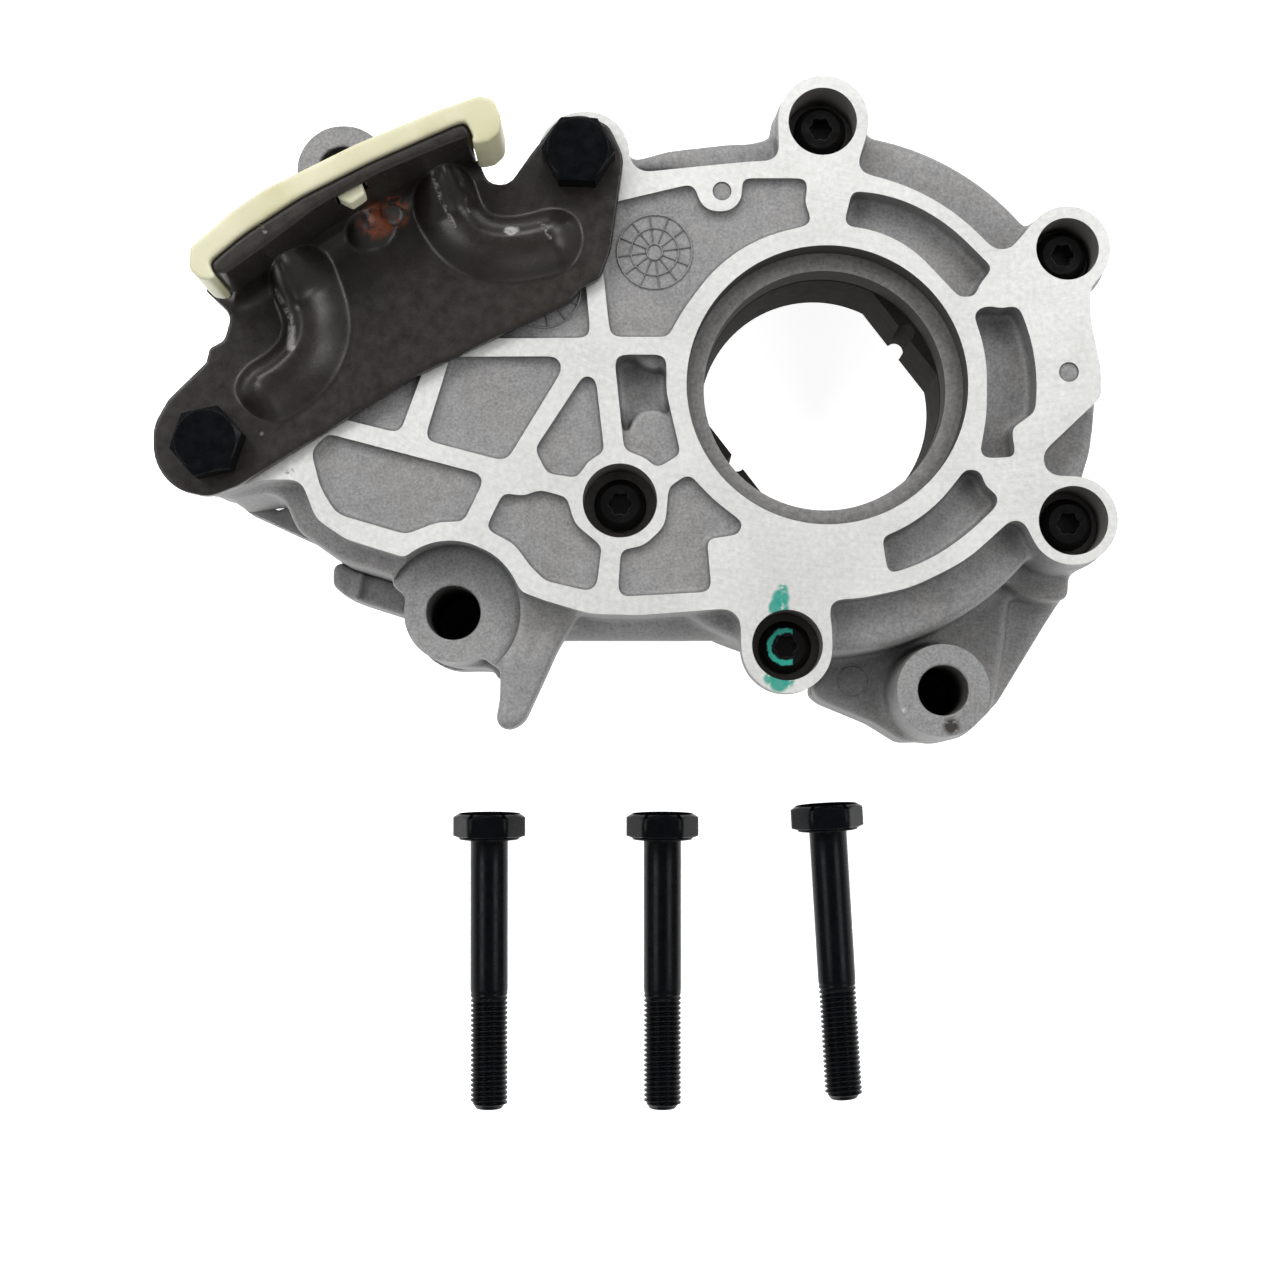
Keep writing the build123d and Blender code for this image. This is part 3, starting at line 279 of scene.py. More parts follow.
def dark_steel_mat(name, base=(0.032, 0.028, 0.025), rough=0.42, scuff=0.5, bevel=0.0, rust=(), metallic=0.3, edge=(0.16, 0.155, 0.15), spec=0.3,
                   corner_shade=0.0, reach=0.010, ring=None, grit=0.20, crest_wear_and_highlights=()):
    """Phosphated or black-oxide steel with rubbed spots and, where given, rust, a paint mark, painted shade in its
    corners and pale streaks on raised crests that are partly wear and partly painted highlight.
    """
    m = Mat(name)
    wide = m.noise(38, 4, 0.6)
    mid = m.noise(420, 5, 0.65)
    fine = m.noise(2400, 2, 0.5)
    v = m.math("ADD", m.math("MULTIPLY", m.range(wide, 0.3, 0.7), 0.4), m.math("MULTIPLY", m.range(mid, 0.3, 0.7), 0.35))
    v = m.math("ADD", v, m.math("MULTIPLY", m.range(fine, 0.3, 0.7), 0.25))
    col = m.mix(v, tuple(c * 0.62 for c in base), tuple(c * 1.42 for c in base))
    sc = m.math("MULTIPLY", m.range(m.noise(300, 6, 0.75), 0.64, 0.74), m.range(m.noise(36, 2, 0.5), 0.52, 0.64))
    col = m.mix(m.math("MULTIPLY", sc, scuff), col, edge)
    # Painted shade: near-black in corners and recesses within reach.
    if corner_shade:
        col = m.mix(m.math("MULTIPLY", m.corners(reach, 0.30, 0.80), corner_shade), col, (0.0035, 0.0036, 0.0042))
    rough_out = m.range(mid, 0.3, 0.7, rough - 0.06, rough + 0.10)
    for x, y, z, r, soft, c, amount, scale, lo in rust:
        patch = m.math("MULTIPLY", m.spot(x, y, r, soft, z), m.range(m.noise(scale, 4, 0.6), lo, lo + 0.12))
        col = m.mix(m.math("MULTIPLY", patch, amount), col, c)
    # Pale streaks on the raised rib crests: partly rubbed wear, partly painted highlight.
    for x0, y0, x1, y1, half, c, amount, lo in crest_wear_and_highlights:
        patch = m.math("MULTIPLY", m.streak(x0, y0, x1, y1, half, half * 0.6), m.range(m.noise(900, 5, 0.7), lo, lo + 0.10))
        patch = m.math("MULTIPLY", patch, m.range(m.sep()[2], 0.0432, 0.0440))
        col = m.mix(m.math("MULTIPLY", patch, amount), col, c)
    if ring:
        x, y, r, half, cut, c = ring
        d = m.math("ABSOLUTE", m.math("SUBTRACT", m.radius(x, y), r * MM))
        wob = m.math("MULTIPLY", m.math("SUBTRACT", m.noise(620, 4, 0.7), 0.5), 0.0014)
        mask = m.range(m.math("ADD", d, wob), (half - 0.12) * MM, (half + 0.12) * MM, 1.0, 0.0)
        side = m.range(m.sep()[0], (x + cut - 0.1) * MM, (x + cut + 0.1) * MM, 1.0, 0.0)
        high = m.range(m.sep()[2], 0.0335, 0.0337)
        col = m.mix(m.math("MULTIPLY", m.math("MULTIPLY", mask, side), high), col, c)
    m.set(color=col, metallic=metallic, rough=rough_out, spec=spec)
    h = m.math("ADD", m.math("MULTIPLY", mid, 0.6), m.math("MULTIPLY", fine, 0.6))
    m.normal(m.bump(h, grit, 0.00008, m.bevel(bevel) if bevel else None))
    return m.m


# ---- mesh helpers -----------------------------------------------------------------
def add(name, mesh):
    o = bpy.data.objects.new(name, mesh)
    scene.collection.objects.link(o)
    return o


def welded(node):
    """A closed copy of a CAD node's mesh."""
    bm = bmesh.new()
    bm.from_mesh(NODES[node].data)
    bmesh.ops.remove_doubles(bm, verts=bm.verts, dist=2e-6)
    bmesh.ops.recalc_face_normals(bm, faces=bm.faces)
    me = bpy.data.meshes.new(node + "_copy")
    bm.to_mesh(me)
    bm.free()
    me.materials.clear()
    return me


def applied(obj, name):
    """obj with its modifiers applied, as a new mesh."""
    dg = bpy.context.evaluated_depsgraph_get()
    me = bpy.data.meshes.new_from_object(obj.evaluated_get(dg), depsgraph=dg)
    me.name = name
    return me


def remeshed(me, voxel, name):
    o = add(name + "_tmp", me)
    mod = o.modifiers.new("remesh", "REMESH")
    mod.mode = "VOXEL"
    mod.voxel_size = voxel * MM
    mod.adaptivity = 0.0
    out = applied(o, name)
    bpy.data.objects.remove(o)
    return out


def points(me):
    a = np.empty(len(me.vertices) * 3, np.float64)
    me.vertices.foreach_get("co", a)
    return a.reshape(-1, 3) * 1000.0


def put_points(me, p):
    me.vertices.foreach_set("co", (p / 1000.0).astype(np.float32).ravel())
    me.update()


def edges(me):
    e = np.empty(len(me.edges) * 2, np.int32)
    me.edges.foreach_get("vertices", e)
    return e.reshape(-1, 2)


def soften(p, e, weight, rounds):
    """Moves each point towards its neighbours' mean, by its own weight."""
    n = len(p)
    a, b = e[:, 0], e[:, 1]
    deg = np.maximum(np.bincount(a, minlength=n) + np.bincount(b, minlength=n), 1)
    w = (weight * 0.5)[:, None]
    for _ in range(rounds):
        s = np.empty_like(p)
        for k in range(3):
            s[:, k] = np.bincount(a, p[b, k], n) + np.bincount(b, p[a, k], n)
        p = p + w * (s / deg[:, None] - p)
    return p


def thinned(me, ratio, name):
    o = add(name + "_tmp", me)
    mod = o.modifiers.new("thin", "DECIMATE")
    mod.ratio = ratio
    out = applied(o, name)
    bpy.data.objects.remove(o)
    return out


def shade(me, angle=None):
    me.polygons.foreach_set("use_smooth", [True] * len(me.polygons))
    if angle is not None:
        me.set_sharp_from_angle(angle=math.radians(angle))
    me.update()


def face_data(me):
    n = len(me.polygons)
    c = np.empty(n * 3)
    me.polygons.foreach_get("center", c)
    q = np.empty(n * 3)
    me.polygons.foreach_get("normal", q)
    return c.reshape(-1, 3) * 1000.0, q.reshape(-1, 3)


def weighted(o):
    """Big flat faces keep their own normal, so that shading stays flat on them."""
    mod = o.modifiers.new("weighted", "WEIGHTED_NORMAL")
    mod.keep_sharp = True
    mod.weight = 60


def dist_poly(p, poly):
    """Distance of 2-D points to a closed polygon's outline, positive inside."""
    poly = np.asarray(poly, float)
    q = np.roll(poly, -1, axis=0)
    best = np.full(len(p), 1e9)
    inside = np.zeros(len(p), bool)
    for a, b in zip(poly, q):
        ab = b - a
        t = np.clip(((p - a) @ ab) / (ab @ ab), 0, 1)
        d = np.linalg.norm(p - (a + t[:, None] * ab), axis=1)
        best = np.minimum(best, d)
        cross = ((a[1] > p[:, 1]) != (b[1] > p[:, 1]))
        with np.errstate(divide="ignore", invalid="ignore"):
            xi = a[0] + (p[:, 1] - a[1]) * (b[0] - a[0]) / (b[1] - a[1])
        inside ^= cross & (p[:, 0] < xi)
    return np.where(inside, best, -best)


def smooth01(t):
    t = np.clip(t, 0, 1)
    return t * t * (3 - 2 * t)


# ---- materials --------------------------------------------------------------------
TEAL = (0.025, 0.27, 0.21)
RUST = (0.16, 0.042, 0.016)
SOOT = (0.02, 0.016, 0.013)
cast = cast_mat("cast_aluminium", 0.190, warm=0.014, low=1.0)
cast_cover = cast_mat("cast_cover", 0.18, low=1.0)
spot_face = cast_mat("spot_face", 0.20, grain=0.5, low=1.0, paint=((24.1, -64.6, 1.5, 0.6, SOOT, 0.95, 700, 0.34), (14.9, -61.5, 0.5, 0.3, (0.5, 0.5, 0.5), 0.5, 900, 0.4)))
machined = machined_mat("machined_face", 0.56, 0.36, paint=(
    (-9.4, -42.5, 1.9, 0.3, TEAL, 0.95, 650, 0.30), (-9.0, -40.6, 1.6, 0.4, TEAL, 0.95, 650, 0.36), (-8.7, -39.1, 1.1, 0.4, TEAL, 0.9, 650, 0.40),
    (-9.4, -56.6, 1.8, 0.4, TEAL, 0.95, 650, 0.34), (-11.3, -55.9, 1.0, 0.4, TEAL, 0.9, 650, 0.40), (-7.7, -56.3, 1.2, 0.4, TEAL, 0.9, 650, 0.40),
    (-101.7, -16.8, 0.8, 0.4, (0.14, 0.07, 0.04), 0.85, 1400, 0.50)))
# Bore and hole walls: reamed aluminium painted near-black and almost without shine, which paints the shade inside the
# bores; painted shade in their corners too.
shaded_bore = turned_mat("bore_wall_painted_shade", 0.070, 0.75, metallic=0.0, corner_shade=0.5, warm=0.05, spec=0.05)
shelf = turned_mat("turned_shelf", 0.215, 0.44, lo=0.50, hi=1.35, metallic=0.35, corner_shade=0.55, warm=0.025)
seat = turned_mat("screw_seat", 0.20, 0.46, metallic=0.4, corner_shade=0.55, warm=0.07)
rotor_mat = dark_steel_mat("sintered_rotor", (0.0165, 0.0145, 0.0125), 0.70, 0.20, bevel=0.00025, metallic=0.0, spec=0.05)
STUD = ((-82.3, 31.9, 45.0, 1.6, 0.4, (0.10, 0.095, 0.09), 0.8, 600, 0.2), (-82.3, 31.9, 44.5, 3.4, 0.7, RUST, 0.9, 500, 0.46), (-85.6, 30.4, 44.8, 3.4, 1.0, RUST, 0.85, 420, 0.44),
        (-84.6, 29.2, 44.6, 2.2, 0.8, RUST, 0.8, 700, 0.46))
PALE_WEAR_AND_HIGHLIGHT = (0.26, 0.25, 0.245)
SCUFFS = ((-59.9, 28.3, 46.6, 1.3, 0.3, (0.36, 0.35, 0.34), 0.85, 600, 0.36), (-58.9, 28.5, 46.6, 0.9, 0.3, (0.36, 0.35, 0.34), 0.85, 600, 0.36),
          (-106.8, -9.8, 42.6, 0.4, 0.2, (0.2, 0.19, 0.18), 0.6, 900, 0.40))
# Pale streaks along the rib crests, partly rubbed wear and partly painted highlight: (start x, y, end x, y, half width,
# colour, amount, noise threshold), mm.
CREST_WEAR_AND_HIGHLIGHTS = ((-100.9, 9.6, -100.8, 6.0, 0.75, PALE_WEAR_AND_HIGHLIGHT, 0.85, 0.38), (-103.9, 16.8, -101.2, 11.8, 0.45, PALE_WEAR_AND_HIGHLIGHT, 0.65, 0.44), (-101.2, 11.8, -100.9, 8.0, 0.55, PALE_WEAR_AND_HIGHLIGHT, 0.7, 0.44),
        (-74.0, 37.4, -72.9, 33.8, 0.40, PALE_WEAR_AND_HIGHLIGHT, 0.6, 0.46), (-72.9, 33.8, -70.3, 28.9, 0.35, PALE_WEAR_AND_HIGHLIGHT, 0.7, 0.48), (-54.4, 29.4, -53.0, 28.4, 0.35, PALE_WEAR_AND_HIGHLIGHT, 0.6, 0.46),
        (-53.2, 27.8, -52.4, 26.6, 0.30, PALE_WEAR_AND_HIGHLIGHT, 0.6, 0.46), (-69.2, 37.6, -67.6, 31.6, 0.25, PALE_WEAR_AND_HIGHLIGHT, 0.4, 0.50), (-104.6, 25.4, -103.0, 23.6, 0.35, PALE_WEAR_AND_HIGHLIGHT, 0.5, 0.46))
# The bracket's painted shade is near-black and reaches 13 mm, which paints a shadow under the flange.
bracket_mat = dark_steel_mat("bracket_phosphate", (0.0168, 0.0140, 0.0120), 0.31, 0.35, metallic=0.15, spec=0.36, corner_shade=0.93, reach=0.013, rust=STUD + SCUFFS, grit=0.34, crest_wear_and_highlights=CREST_WEAR_AND_HIGHLIGHTS)
rivet_mat = dark_steel_mat("rivet_steel", (0.09, 0.085, 0.08), 0.45, 0.3, bevel=0.0003, metallic=0.6, rust=((-82.3, 31.9, 44.5, 3.0, 0.6, RUST, 0.8, 600, 0.50),))
matte_black = dark_steel_mat("black_oxide_end", (0.0016, 0.0018, 0.0022), 0.9, 0.05, metallic=0.0, edge=(0.01, 0.01, 0.012), spec=0.0, grit=0.05)
black = dark_steel_mat("black_oxide", (0.0011, 0.0015, 0.0022), 0.26, 0.12, bevel=0.00030, metallic=0.0, edge=(0.012, 0.016, 0.020), spec=0.085, grit=0.05)
screw_mat = dark_steel_mat("black_screw", (0.0014, 0.0014, 0.0016), 0.20, 0.06, bevel=0.00025, metallic=0.0, edge=(0.03, 0.032, 0.036), spec=0.24, grit=0.05,
                           ring=(-7.77, -49.53, 3.1, 0.46, 1.3, TEAL))
zinc = turned_mat("bright_steel", 0.42, 0.30, metallic=0.9)
spring_mat = dark_steel_mat("spring_steel", (0.20, 0.20, 0.21), 0.30, 0.1, metallic=1.0)


def nylon_mat():
    m = Mat("nylon_guide")
    v = m.range(m.noise(60, 3, 0.5), 0.3, 0.7)
    col = m.mix(v, (0.42, 0.40, 0.25), (0.52, 0.505, 0.37))
    stain = m.math("MULTIPLY", m.range(m.noise(90, 5, 0.7), 0.54, 0.70), 0.30)
    col = m.mix(stain, col, (0.36, 0.30, 0.13))
    # Painted shade, brown-tinted, in the shoe's corners and recesses.
    col = m.mix(m.math("MULTIPLY", m.corners(0.004, 0.35, 0.85), 0.45), col, (0.20, 0.155, 0.06))
    m.set(color=col, rough=0.42, spec=0.4, sss=0.20)
    m.b.inputs["Subsurface Radius"].default_value = (0.0016, 0.0013, 0.0007)
    m.b.inputs["Subsurface Scale"].default_value = 1.0
    m.normal(m.bump(m.noise(700, 3, 0.5), 0.12, 0.0001))
    return m.m


def rubber_mat():
    m = Mat("seal_rubber")
    v = m.range(m.noise(300, 3, 0.5), 0.3, 0.7)
    m.set(color=m.mix(v, (0.012, 0.012, 0.012), (0.03, 0.03, 0.03)), rough=0.62)
    m.normal(m.bump(m.noise(2200, 2, 0.5), 0.2, 0.00005))
    return m.m


def copper_mat():
    m = Mat("copper_washer")
    v = m.range(m.noise(420, 4, 0.6), 0.3, 0.7)
    m.set(color=m.mix(v, (0.50, 0.22, 0.13), (0.72, 0.38, 0.26)), metallic=1.0, rough=m.range(v, 0, 1, 0.3, 0.45))
    m.normal(m.bump(m.noise(1500, 2, 0.5), 0.1, 0.00004))
    return m.m


nylon, rubber, copper = nylon_mat(), rubber_mat(), copper_mat()
for node, m in {"rear_cover": cast_cover, "front_housing": cast, "inner_rotor": rotor_mat, "outer_rotor": rotor_mat, "cover_screws": screw_mat,
                "cover_dowels": zinc, "inlet_seal": rubber, "outlet_seal": rubber, "gallery_balls": zinc, "inlet_strainer": zinc,
                "relief_piston": zinc, "relief_spring": spring_mat, "relief_washer": copper, "relief_plug": black, "guide_bracket": bracket_mat,
                "guide_shoe": nylon, "guide_bolts": black, "guide_rivet": rivet_mat, "mounting_bolt_a": black, "mounting_bolt_b": black,
                "mounting_bolt_c": black}.items():
    o = NODES[node]
    for s in o.material_slots:
        s.material = m


# ---- cutters ------------------------------------------------------------------------
def tube(bm, cx, cy, steps, seg=144):
    """A closed turned body about an upright line: steps are (radius, z) from bottom to top, in mm."""
    rings = []
    for r, z in steps:
        rings.append([bm.verts.new(((cx + r * math.cos(2 * math.pi * k / seg)) * MM, (cy + r * math.sin(2 * math.pi * k / seg)) * MM, z * MM)) for k in range(seg)])
    bm.faces.new(list(reversed(rings[0])))
    bm.faces.new(rings[-1])
    for a, b in zip(rings, rings[1:]):
        for k in range(seg):
            j = (k + 1) % seg
            bm.faces.new((a[k], a[j], b[j], b[k]))


def carved(me, name, cuts):
    """me less each group of turned bodies, so that machined faces and bores are exact."""
    o = add(name + "_tmp", me)
    tools = []
    for group in cuts:
        bm = bmesh.new()
        for cx, cy, steps, seg in group:
            tube(bm, cx, cy, steps, seg)
        cm = bpy.data.meshes.new("cutter")
        bm.to_mesh(cm)
        bm.free()
        c = add("cutter", cm)
        tools.append(c)
        mod = o.modifiers.new("cut", "BOOLEAN")
        mod.operation = "DIFFERENCE"
        mod.object = c
        mod.solver = "MANIFOLD"
    out = applied(o, name)
    for q in [o] + tools:
        bpy.data.objects.remove(q)
    return out


# ---- front housing: the same casting with its as-cast corners rounded ---------------
def make_housing():
    h = 0.42
    me = welded("front_housing")
    p = points(me)
    p[p[:, 2] > 39.99, 2] = 42.2
    p[p[:, 2] < 8.01, 2] = 6.0
    for mx, my, hr, br in MOUNTS:
        top = (np.abs(p[:, 2] - 31.5) < 0.02) & (np.hypot(p[:, 0] - mx, p[:, 1] - my) < SPOT_R + 0.1)
        p[top, 2] = 32.5
    rc = np.hypot(p[:, 0], p[:, 1])
    throat = (np.abs(rc - 23.25) < 0.12) & (p[:, 2] > 25.9) & (p[:, 2] < 33.6)
    p[throat, :2] *= 21.6 / 23.25
    p[(rc < 26.8) & (np.abs(p[:, 2] - 33.5) < 0.02), 2] = 34.7
    put_points(me, p)
    me = remeshed(me, h, "housing_casting")
    p = points(me)
    x, y, z = p.T
    w = np.ones(len(p))
    rc = np.hypot(x, y)
    rel = np.hypot(y + 39.5, z - 19.0)
    w[(rel < 9.2) & (x > -62) & (x < -26)] *= 0.35
    w[(rel < 6.5) & (x > -62) & (x < -26)] = 0.0
    e = edges(me)
    p = soften(p, e, w, 14)
    wide = w * ((z < 31.0) | (rc > 50.0)) * (z < 34.5)
    p = soften(p, e, wide, 10)
    put_points(me, p)
    me = thinned(me, 0.42, "housing_casting")
    far = 300.0
    holes = [(sx, sy, [(sr, 28.7), (sr, 43.0)], 128) for sx, sy, sr in SCREWS]
    holes += [(mx, my, [(hr, 4.0), (hr, 31.15), (hr + 0.5, 31.52), (hr + 0.5, 33.0)], 128) for mx, my, hr, br in MOUNTS]
    holes += [(-19.9, 37.17, [(1.8, 39.66), (1.8, 43.0)], 64), (45.82, 2.34, [(1.88, 39.66), (1.88, 43.0)], 64)]
    spots = [(mx, my, [(r, 31.5), (r, 45.0)], 160) for (mx, my, hr, br), r in zip(MOUNTS, (SPOT_R, 9.6, SPOT_R))]
    me = carved(me, "housing_casting", [
        [(0, 0, [(far, 40.0), (far, 60.0)], 8), (0, 0, [(far, -20.0), (far, 8.04)], 8)],
        holes, spots,
        [(0, 0, [(26.7, 33.5), (26.7, 43.0)], 192)],
        [(0, 0, [(23.25, 24.0), (23.25, 43.0)], 192)],
        [(2.7713, 1.6, [(43.62, 4.0), (43.62, 26.0)], 192)]])
    c, q = face_data(me)
    slot = np.zeros(len(c), np.int32)
    up = q[:, 2] > 0.95
    slot[(c[:, 2] > 39.97) & up] = 1
    slot[(c[:, 2] < 8.1) & (q[:, 2] < -0.95)] = 1
    r0 = np.hypot(c[:, 0], c[:, 1])
    inner = (r0 < 26.8) & (c[:, 2] > 25.9) & (c[:, 2] < 39.99)
    slot[inner] = 2
    slot[inner & up] = 3
    for sx, sy, sr in SCREWS:
        d = np.hypot(c[:, 0] - sx, c[:, 1] - sy)
        slot[(d < sr + 0.06) & (c[:, 2] < 39.95) & (c[:, 2] > 28.5)] = 4
    for (mx, my, hr, br), r in zip(MOUNTS, (SPOT_R, 9.6, SPOT_R)):
        d = np.hypot(c[:, 0] - mx, c[:, 1] - my)
        slot[(d < hr + 0.06) & (c[:, 2] < 31.4)] = 2
        slot[(d < r + 0.05) & (np.abs(c[:, 2] - 31.5) < 0.02) & up] = 5
    me.materials.clear()
    for m in (cast, machined, shaded_bore, shelf, seat, spot_face):
        me.materials.append(m)
    me.polygons.foreach_set("material_index", slot)
    shade(me, 38)
    o = add("housing_casting", me)
    weighted(o)
    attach(o, "pump_body")
    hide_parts("front_housing")
    return o


def make_cover():
    h = 0.5
    me = welded("rear_cover")
    p = points(me)
    p[p[:, 2] < 0.01, 2] = -1.6
    p[np.abs(p[:, 2] - 8.0) < 0.005, 2] = 7.95
    put_points(me, p)
    me = remeshed(me, h, "cover_casting")
    p = points(me)
    x, y, z = p.T
    w = np.ones(len(p))
    w[(z > 7.4) & (z < 8.2)] = 0.0
    w[np.hypot(x, y) < 44.3] = 0.0
    for sx, sy, sr in SCREWS:
        w[np.hypot(x - sx, y - sy) < 4.4] = 0.0
    for bx, by, br in ((12.0, -45.5, 3.5), (44.5, -10.0, 3.5), (-19.25, 33.34, 12.0), (19.25, -33.34, 12.0)):
        w[np.hypot(x - bx, y - by) < br] = 0.0
    p = soften(p, edges(me), w, 9)
    put_points(me, p)
    me = thinned(me, 0.40, "cover_casting")
    me = carved(me, "cover_casting", [
        [(0, 0, [(300.0, -20.0), (300.0, 0.0)], 8)],
        [(0, 0, [(24.8, -3.0), (24.8, 9.5)], 192)] + [(mx, my, [(hr, -3.0), (hr, 20.0)], 128) for mx, my, hr, br in MOUNTS]])
    c, q = face_data(me)
    slot = np.zeros(len(c), np.int32)
    slot[(c[:, 2] < 0.05) & (q[:, 2] < -0.9)] = 1
    slot[(np.hypot(c[:, 0], c[:, 1]) < 28.5) & (slot == 0)] = 2
    for mx, my, hr, br in MOUNTS:
        slot[(np.hypot(c[:, 0] - mx, c[:, 1] - my) < hr + 0.06) & (slot == 0)] = 2
    me.materials.clear()
    for m in (cast_cover, machined, shaded_bore):
        me.materials.append(m)
    me.polygons.foreach_set("material_index", slot)
    shade(me, 40)
    o = add("cover_casting", me)
    weighted(o)
    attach(o, "pump_body")
    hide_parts("rear_cover")
    return o


# centre lines of the pressed ribs, and the foot of the flange's inner side
RIB_R = [(-75.2, 42.5), (-73.6, 38.4), (-72.44, 34.11), (-70.91, 30.49), (-68.45, 27.43), (-64.87, 25.53), (-60.73, 24.96), (-56.22, 25.53), (-52.4, 26.6)]
RIB_L = [(-103.0, 26.5), (-99.6, 20.6), (-97.1, 14.9), (-96.32, 10.32), (-97.04, 6.34), (-99.07, 2.93), (-102.04, 0.09), (-104.8, -1.6)]
RIB_M = [(-91.4, 36.6), (-88.9, 32.4), (-87.0, 29.9)]
FLANGE_FOOT = [(-111.6, 15.9), (-109.86, 16.23), (-103.80, 20.50), (-93.09, 28.70), (-82.34, 34.55), (-71.57, 39.12), (-65.99, 41.32)]


def dist_path(p, path):
    """Distance of 2-D points to an open line, how far along it the nearest place is, and the side (positive to its right)."""
    best = np.full(len(p), 1e9)
    along = np.zeros(len(p))
    side = np.zeros(len(p))
    run = 0.0
    for a, b in zip(path, path[1:]):
        a, b = np.array(a), np.array(b)
        ab = b - a
        n = np.hypot(*ab)
        t = np.clip(((p - a) @ ab) / (n * n), 0, 1)
        v = p - (a + t[:, None] * ab)
        d = np.hypot(v[:, 0], v[:, 1])
        near = d < best
        best[near] = d[near]
        along[near] = (run + t * n)[near]
        side[near] = (-(ab[0] * v[:, 1] - ab[1] * v[:, 0]) / n)[near]
        run += n
    return best, along, side


def smoothed(path, rounds=3):
    """Rounds a line's corners by cutting them."""
    for _ in range(rounds):
        q = [path[0]]
        for a, b in zip(path, path[1:]):
            q += [(a[0] * 0.75 + b[0] * 0.25, a[1] * 0.75 + b[1] * 0.25), (a[0] * 0.25 + b[0] * 0.75, a[1] * 0.25 + b[1] * 0.75)]
        path = q + [path[-1]]
    return path


def make_bracket():
    h = 0.32
    me = welded("guide_bracket")
    p = points(me)
    p[(p[:, 2] > 42.605) & (p[:, 2] < 46.8), 2] = 42.6      # the ribs are pressed again below, with round crests
    put_points(me, p)
    me = remeshed(me, h, "guide_bracket_sheet")
    p = points(me)
    e = edges(me)
    xy = p[:, :2]
    df, _, side = dist_path(xy, smoothed(FLANGE_FOOT, 2))
    front = side > -0.45
    near = smooth01(1.0 - df / 8.5)
    lift = np.zeros(len(p))
    for path, half, lean, high, rise in ((RIB_R, 6.2, -1.3, 4.0, 6.0), (RIB_L, 6.3, 1.9, 4.0, 6.0), (RIB_M, 5.3, 0.0, 2.4, 2.5)):
        d, _, s = dist_path(xy, smoothed(path))
        s = np.clip(s, -d, d)
        along = np.sqrt(np.maximum(d * d - s * s, 0.0))
        off = s - lean
        u = np.where(off > 0, off / (half - lean), -off / (half + lean))
        u = np.hypot(u, along / half)
        t = np.clip(1.0 - u * u, 0, 1) ** 1.15
        lift = np.maximum(lift, t * (high + rise * near))
    R = 5.0
    g = np.clip(R - df, 0, R)
    fillet = R - np.sqrt(np.maximum(R * R - g * g, 0.0))
    lift = np.maximum(lift, fillet)
    lift[~front] = 0.0
    z = p[:, 2]
    inside = (z > 42.35) & (z < 61.0)
    fade = np.clip(1.0 - (z - 42.6) / 18.0, 0, 1)
    p[inside, 2] += (lift * fade)[inside]
    w = np.ones(len(p)) * 0.8
    w[p[:, 2] < 40.3] = 0.0
    for bx, by, _ in GUIDE_BOLTS:
        w[np.hypot(p[:, 0] - bx, p[:, 1] - by) < 5.5] = 0.0
    p = soften(p, e, w, 5)
    p[:, 2] = np.maximum(p[:, 2], 40.0)
    put_points(me, p)
    me = thinned(me, 0.6, "guide_bracket_sheet")
    me.materials.clear()
    me.materials.append(bracket_mat)
    shade(me, 60)
    o = add("guide_bracket_sheet", me)
    weighted(o)
    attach(o, "pump_body")
    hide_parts("guide_bracket")
    return o


def make_shoe():
    h = 0.33
    me = remeshed(welded("guide_shoe"), h, "guide_shoe_moulded")
    p = points(me)
    w = np.ones(len(p))
    p = soften(p, edges(me), w, 6)
    put_points(me, p)
    me.materials.append(nylon)
    shade(me)
    o = add("guide_shoe_moulded", me)
    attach(o, "pump_body")
    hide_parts("guide_shoe")
    return o


# ---- small cast marks ---------------------------------------------------------------
def ring_mesh(bm, cx, cy, z, r, width, height, seg=96):
    """A fine raised ring, rounded over its top."""
    prof = [(-0.5, 0.0), (-0.36, 0.75), (-0.12, 1.0), (0.12, 1.0), (0.36, 0.75), (0.5, 0.0)]
    rings = []
    for k in range(seg):
        a = 2 * math.pi * k / seg
        rings.append([bm.verts.new(((cx + (r + q * width) * math.cos(a)) * MM, (cy + (r + q * width) * math.sin(a)) * MM, (z + t * height) * MM))
                      for q, t in prof])
    for k in range(seg):
        a, b = rings[k], rings[(k + 1) % seg]
        for i in range(len(prof)):
            j = (i + 1) % len(prof)
            bm.faces.new((a[i], b[i], b[j], a[j]))


def bar_mesh(bm, x0, y0, x1, y1, z, width, height):
    """A fine raised line with a rounded top, closed underneath."""
    dx, dy = x1 - x0, y1 - y0
    n = math.hypot(dx, dy)
    ux, uy = -dy / n, dx / n
    prof = [(-0.5, 0.0), (-0.3, 0.8), (0.0, 1.0), (0.3, 0.8), (0.5, 0.0)]
    ends = []
    for px, py in ((x0, y0), (x1, y1)):
        ends.append([bm.verts.new(((px + ux * q * width) * MM, (py + uy * q * width) * MM, (z + t * height) * MM)) for q, t in prof])
    a, b = ends
    for i in range(len(prof)):
        j = (i + 1) % len(prof)
        bm.faces.new((a[i], a[j], b[j], b[i]))
    bm.faces.new(a)
    bm.faces.new(list(reversed(b)))


def marks_piece(name, build, mat):
    bm = bmesh.new()
    build(bm)
    bmesh.ops.recalc_face_normals(bm, faces=bm.faces)
    me = bpy.data.meshes.new(name)
    bm.to_mesh(me)
    bm.free()
    me.materials.append(mat)
    shade(me, 70)
    o = add(name, me)
    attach(o, "pump_body")
    return o


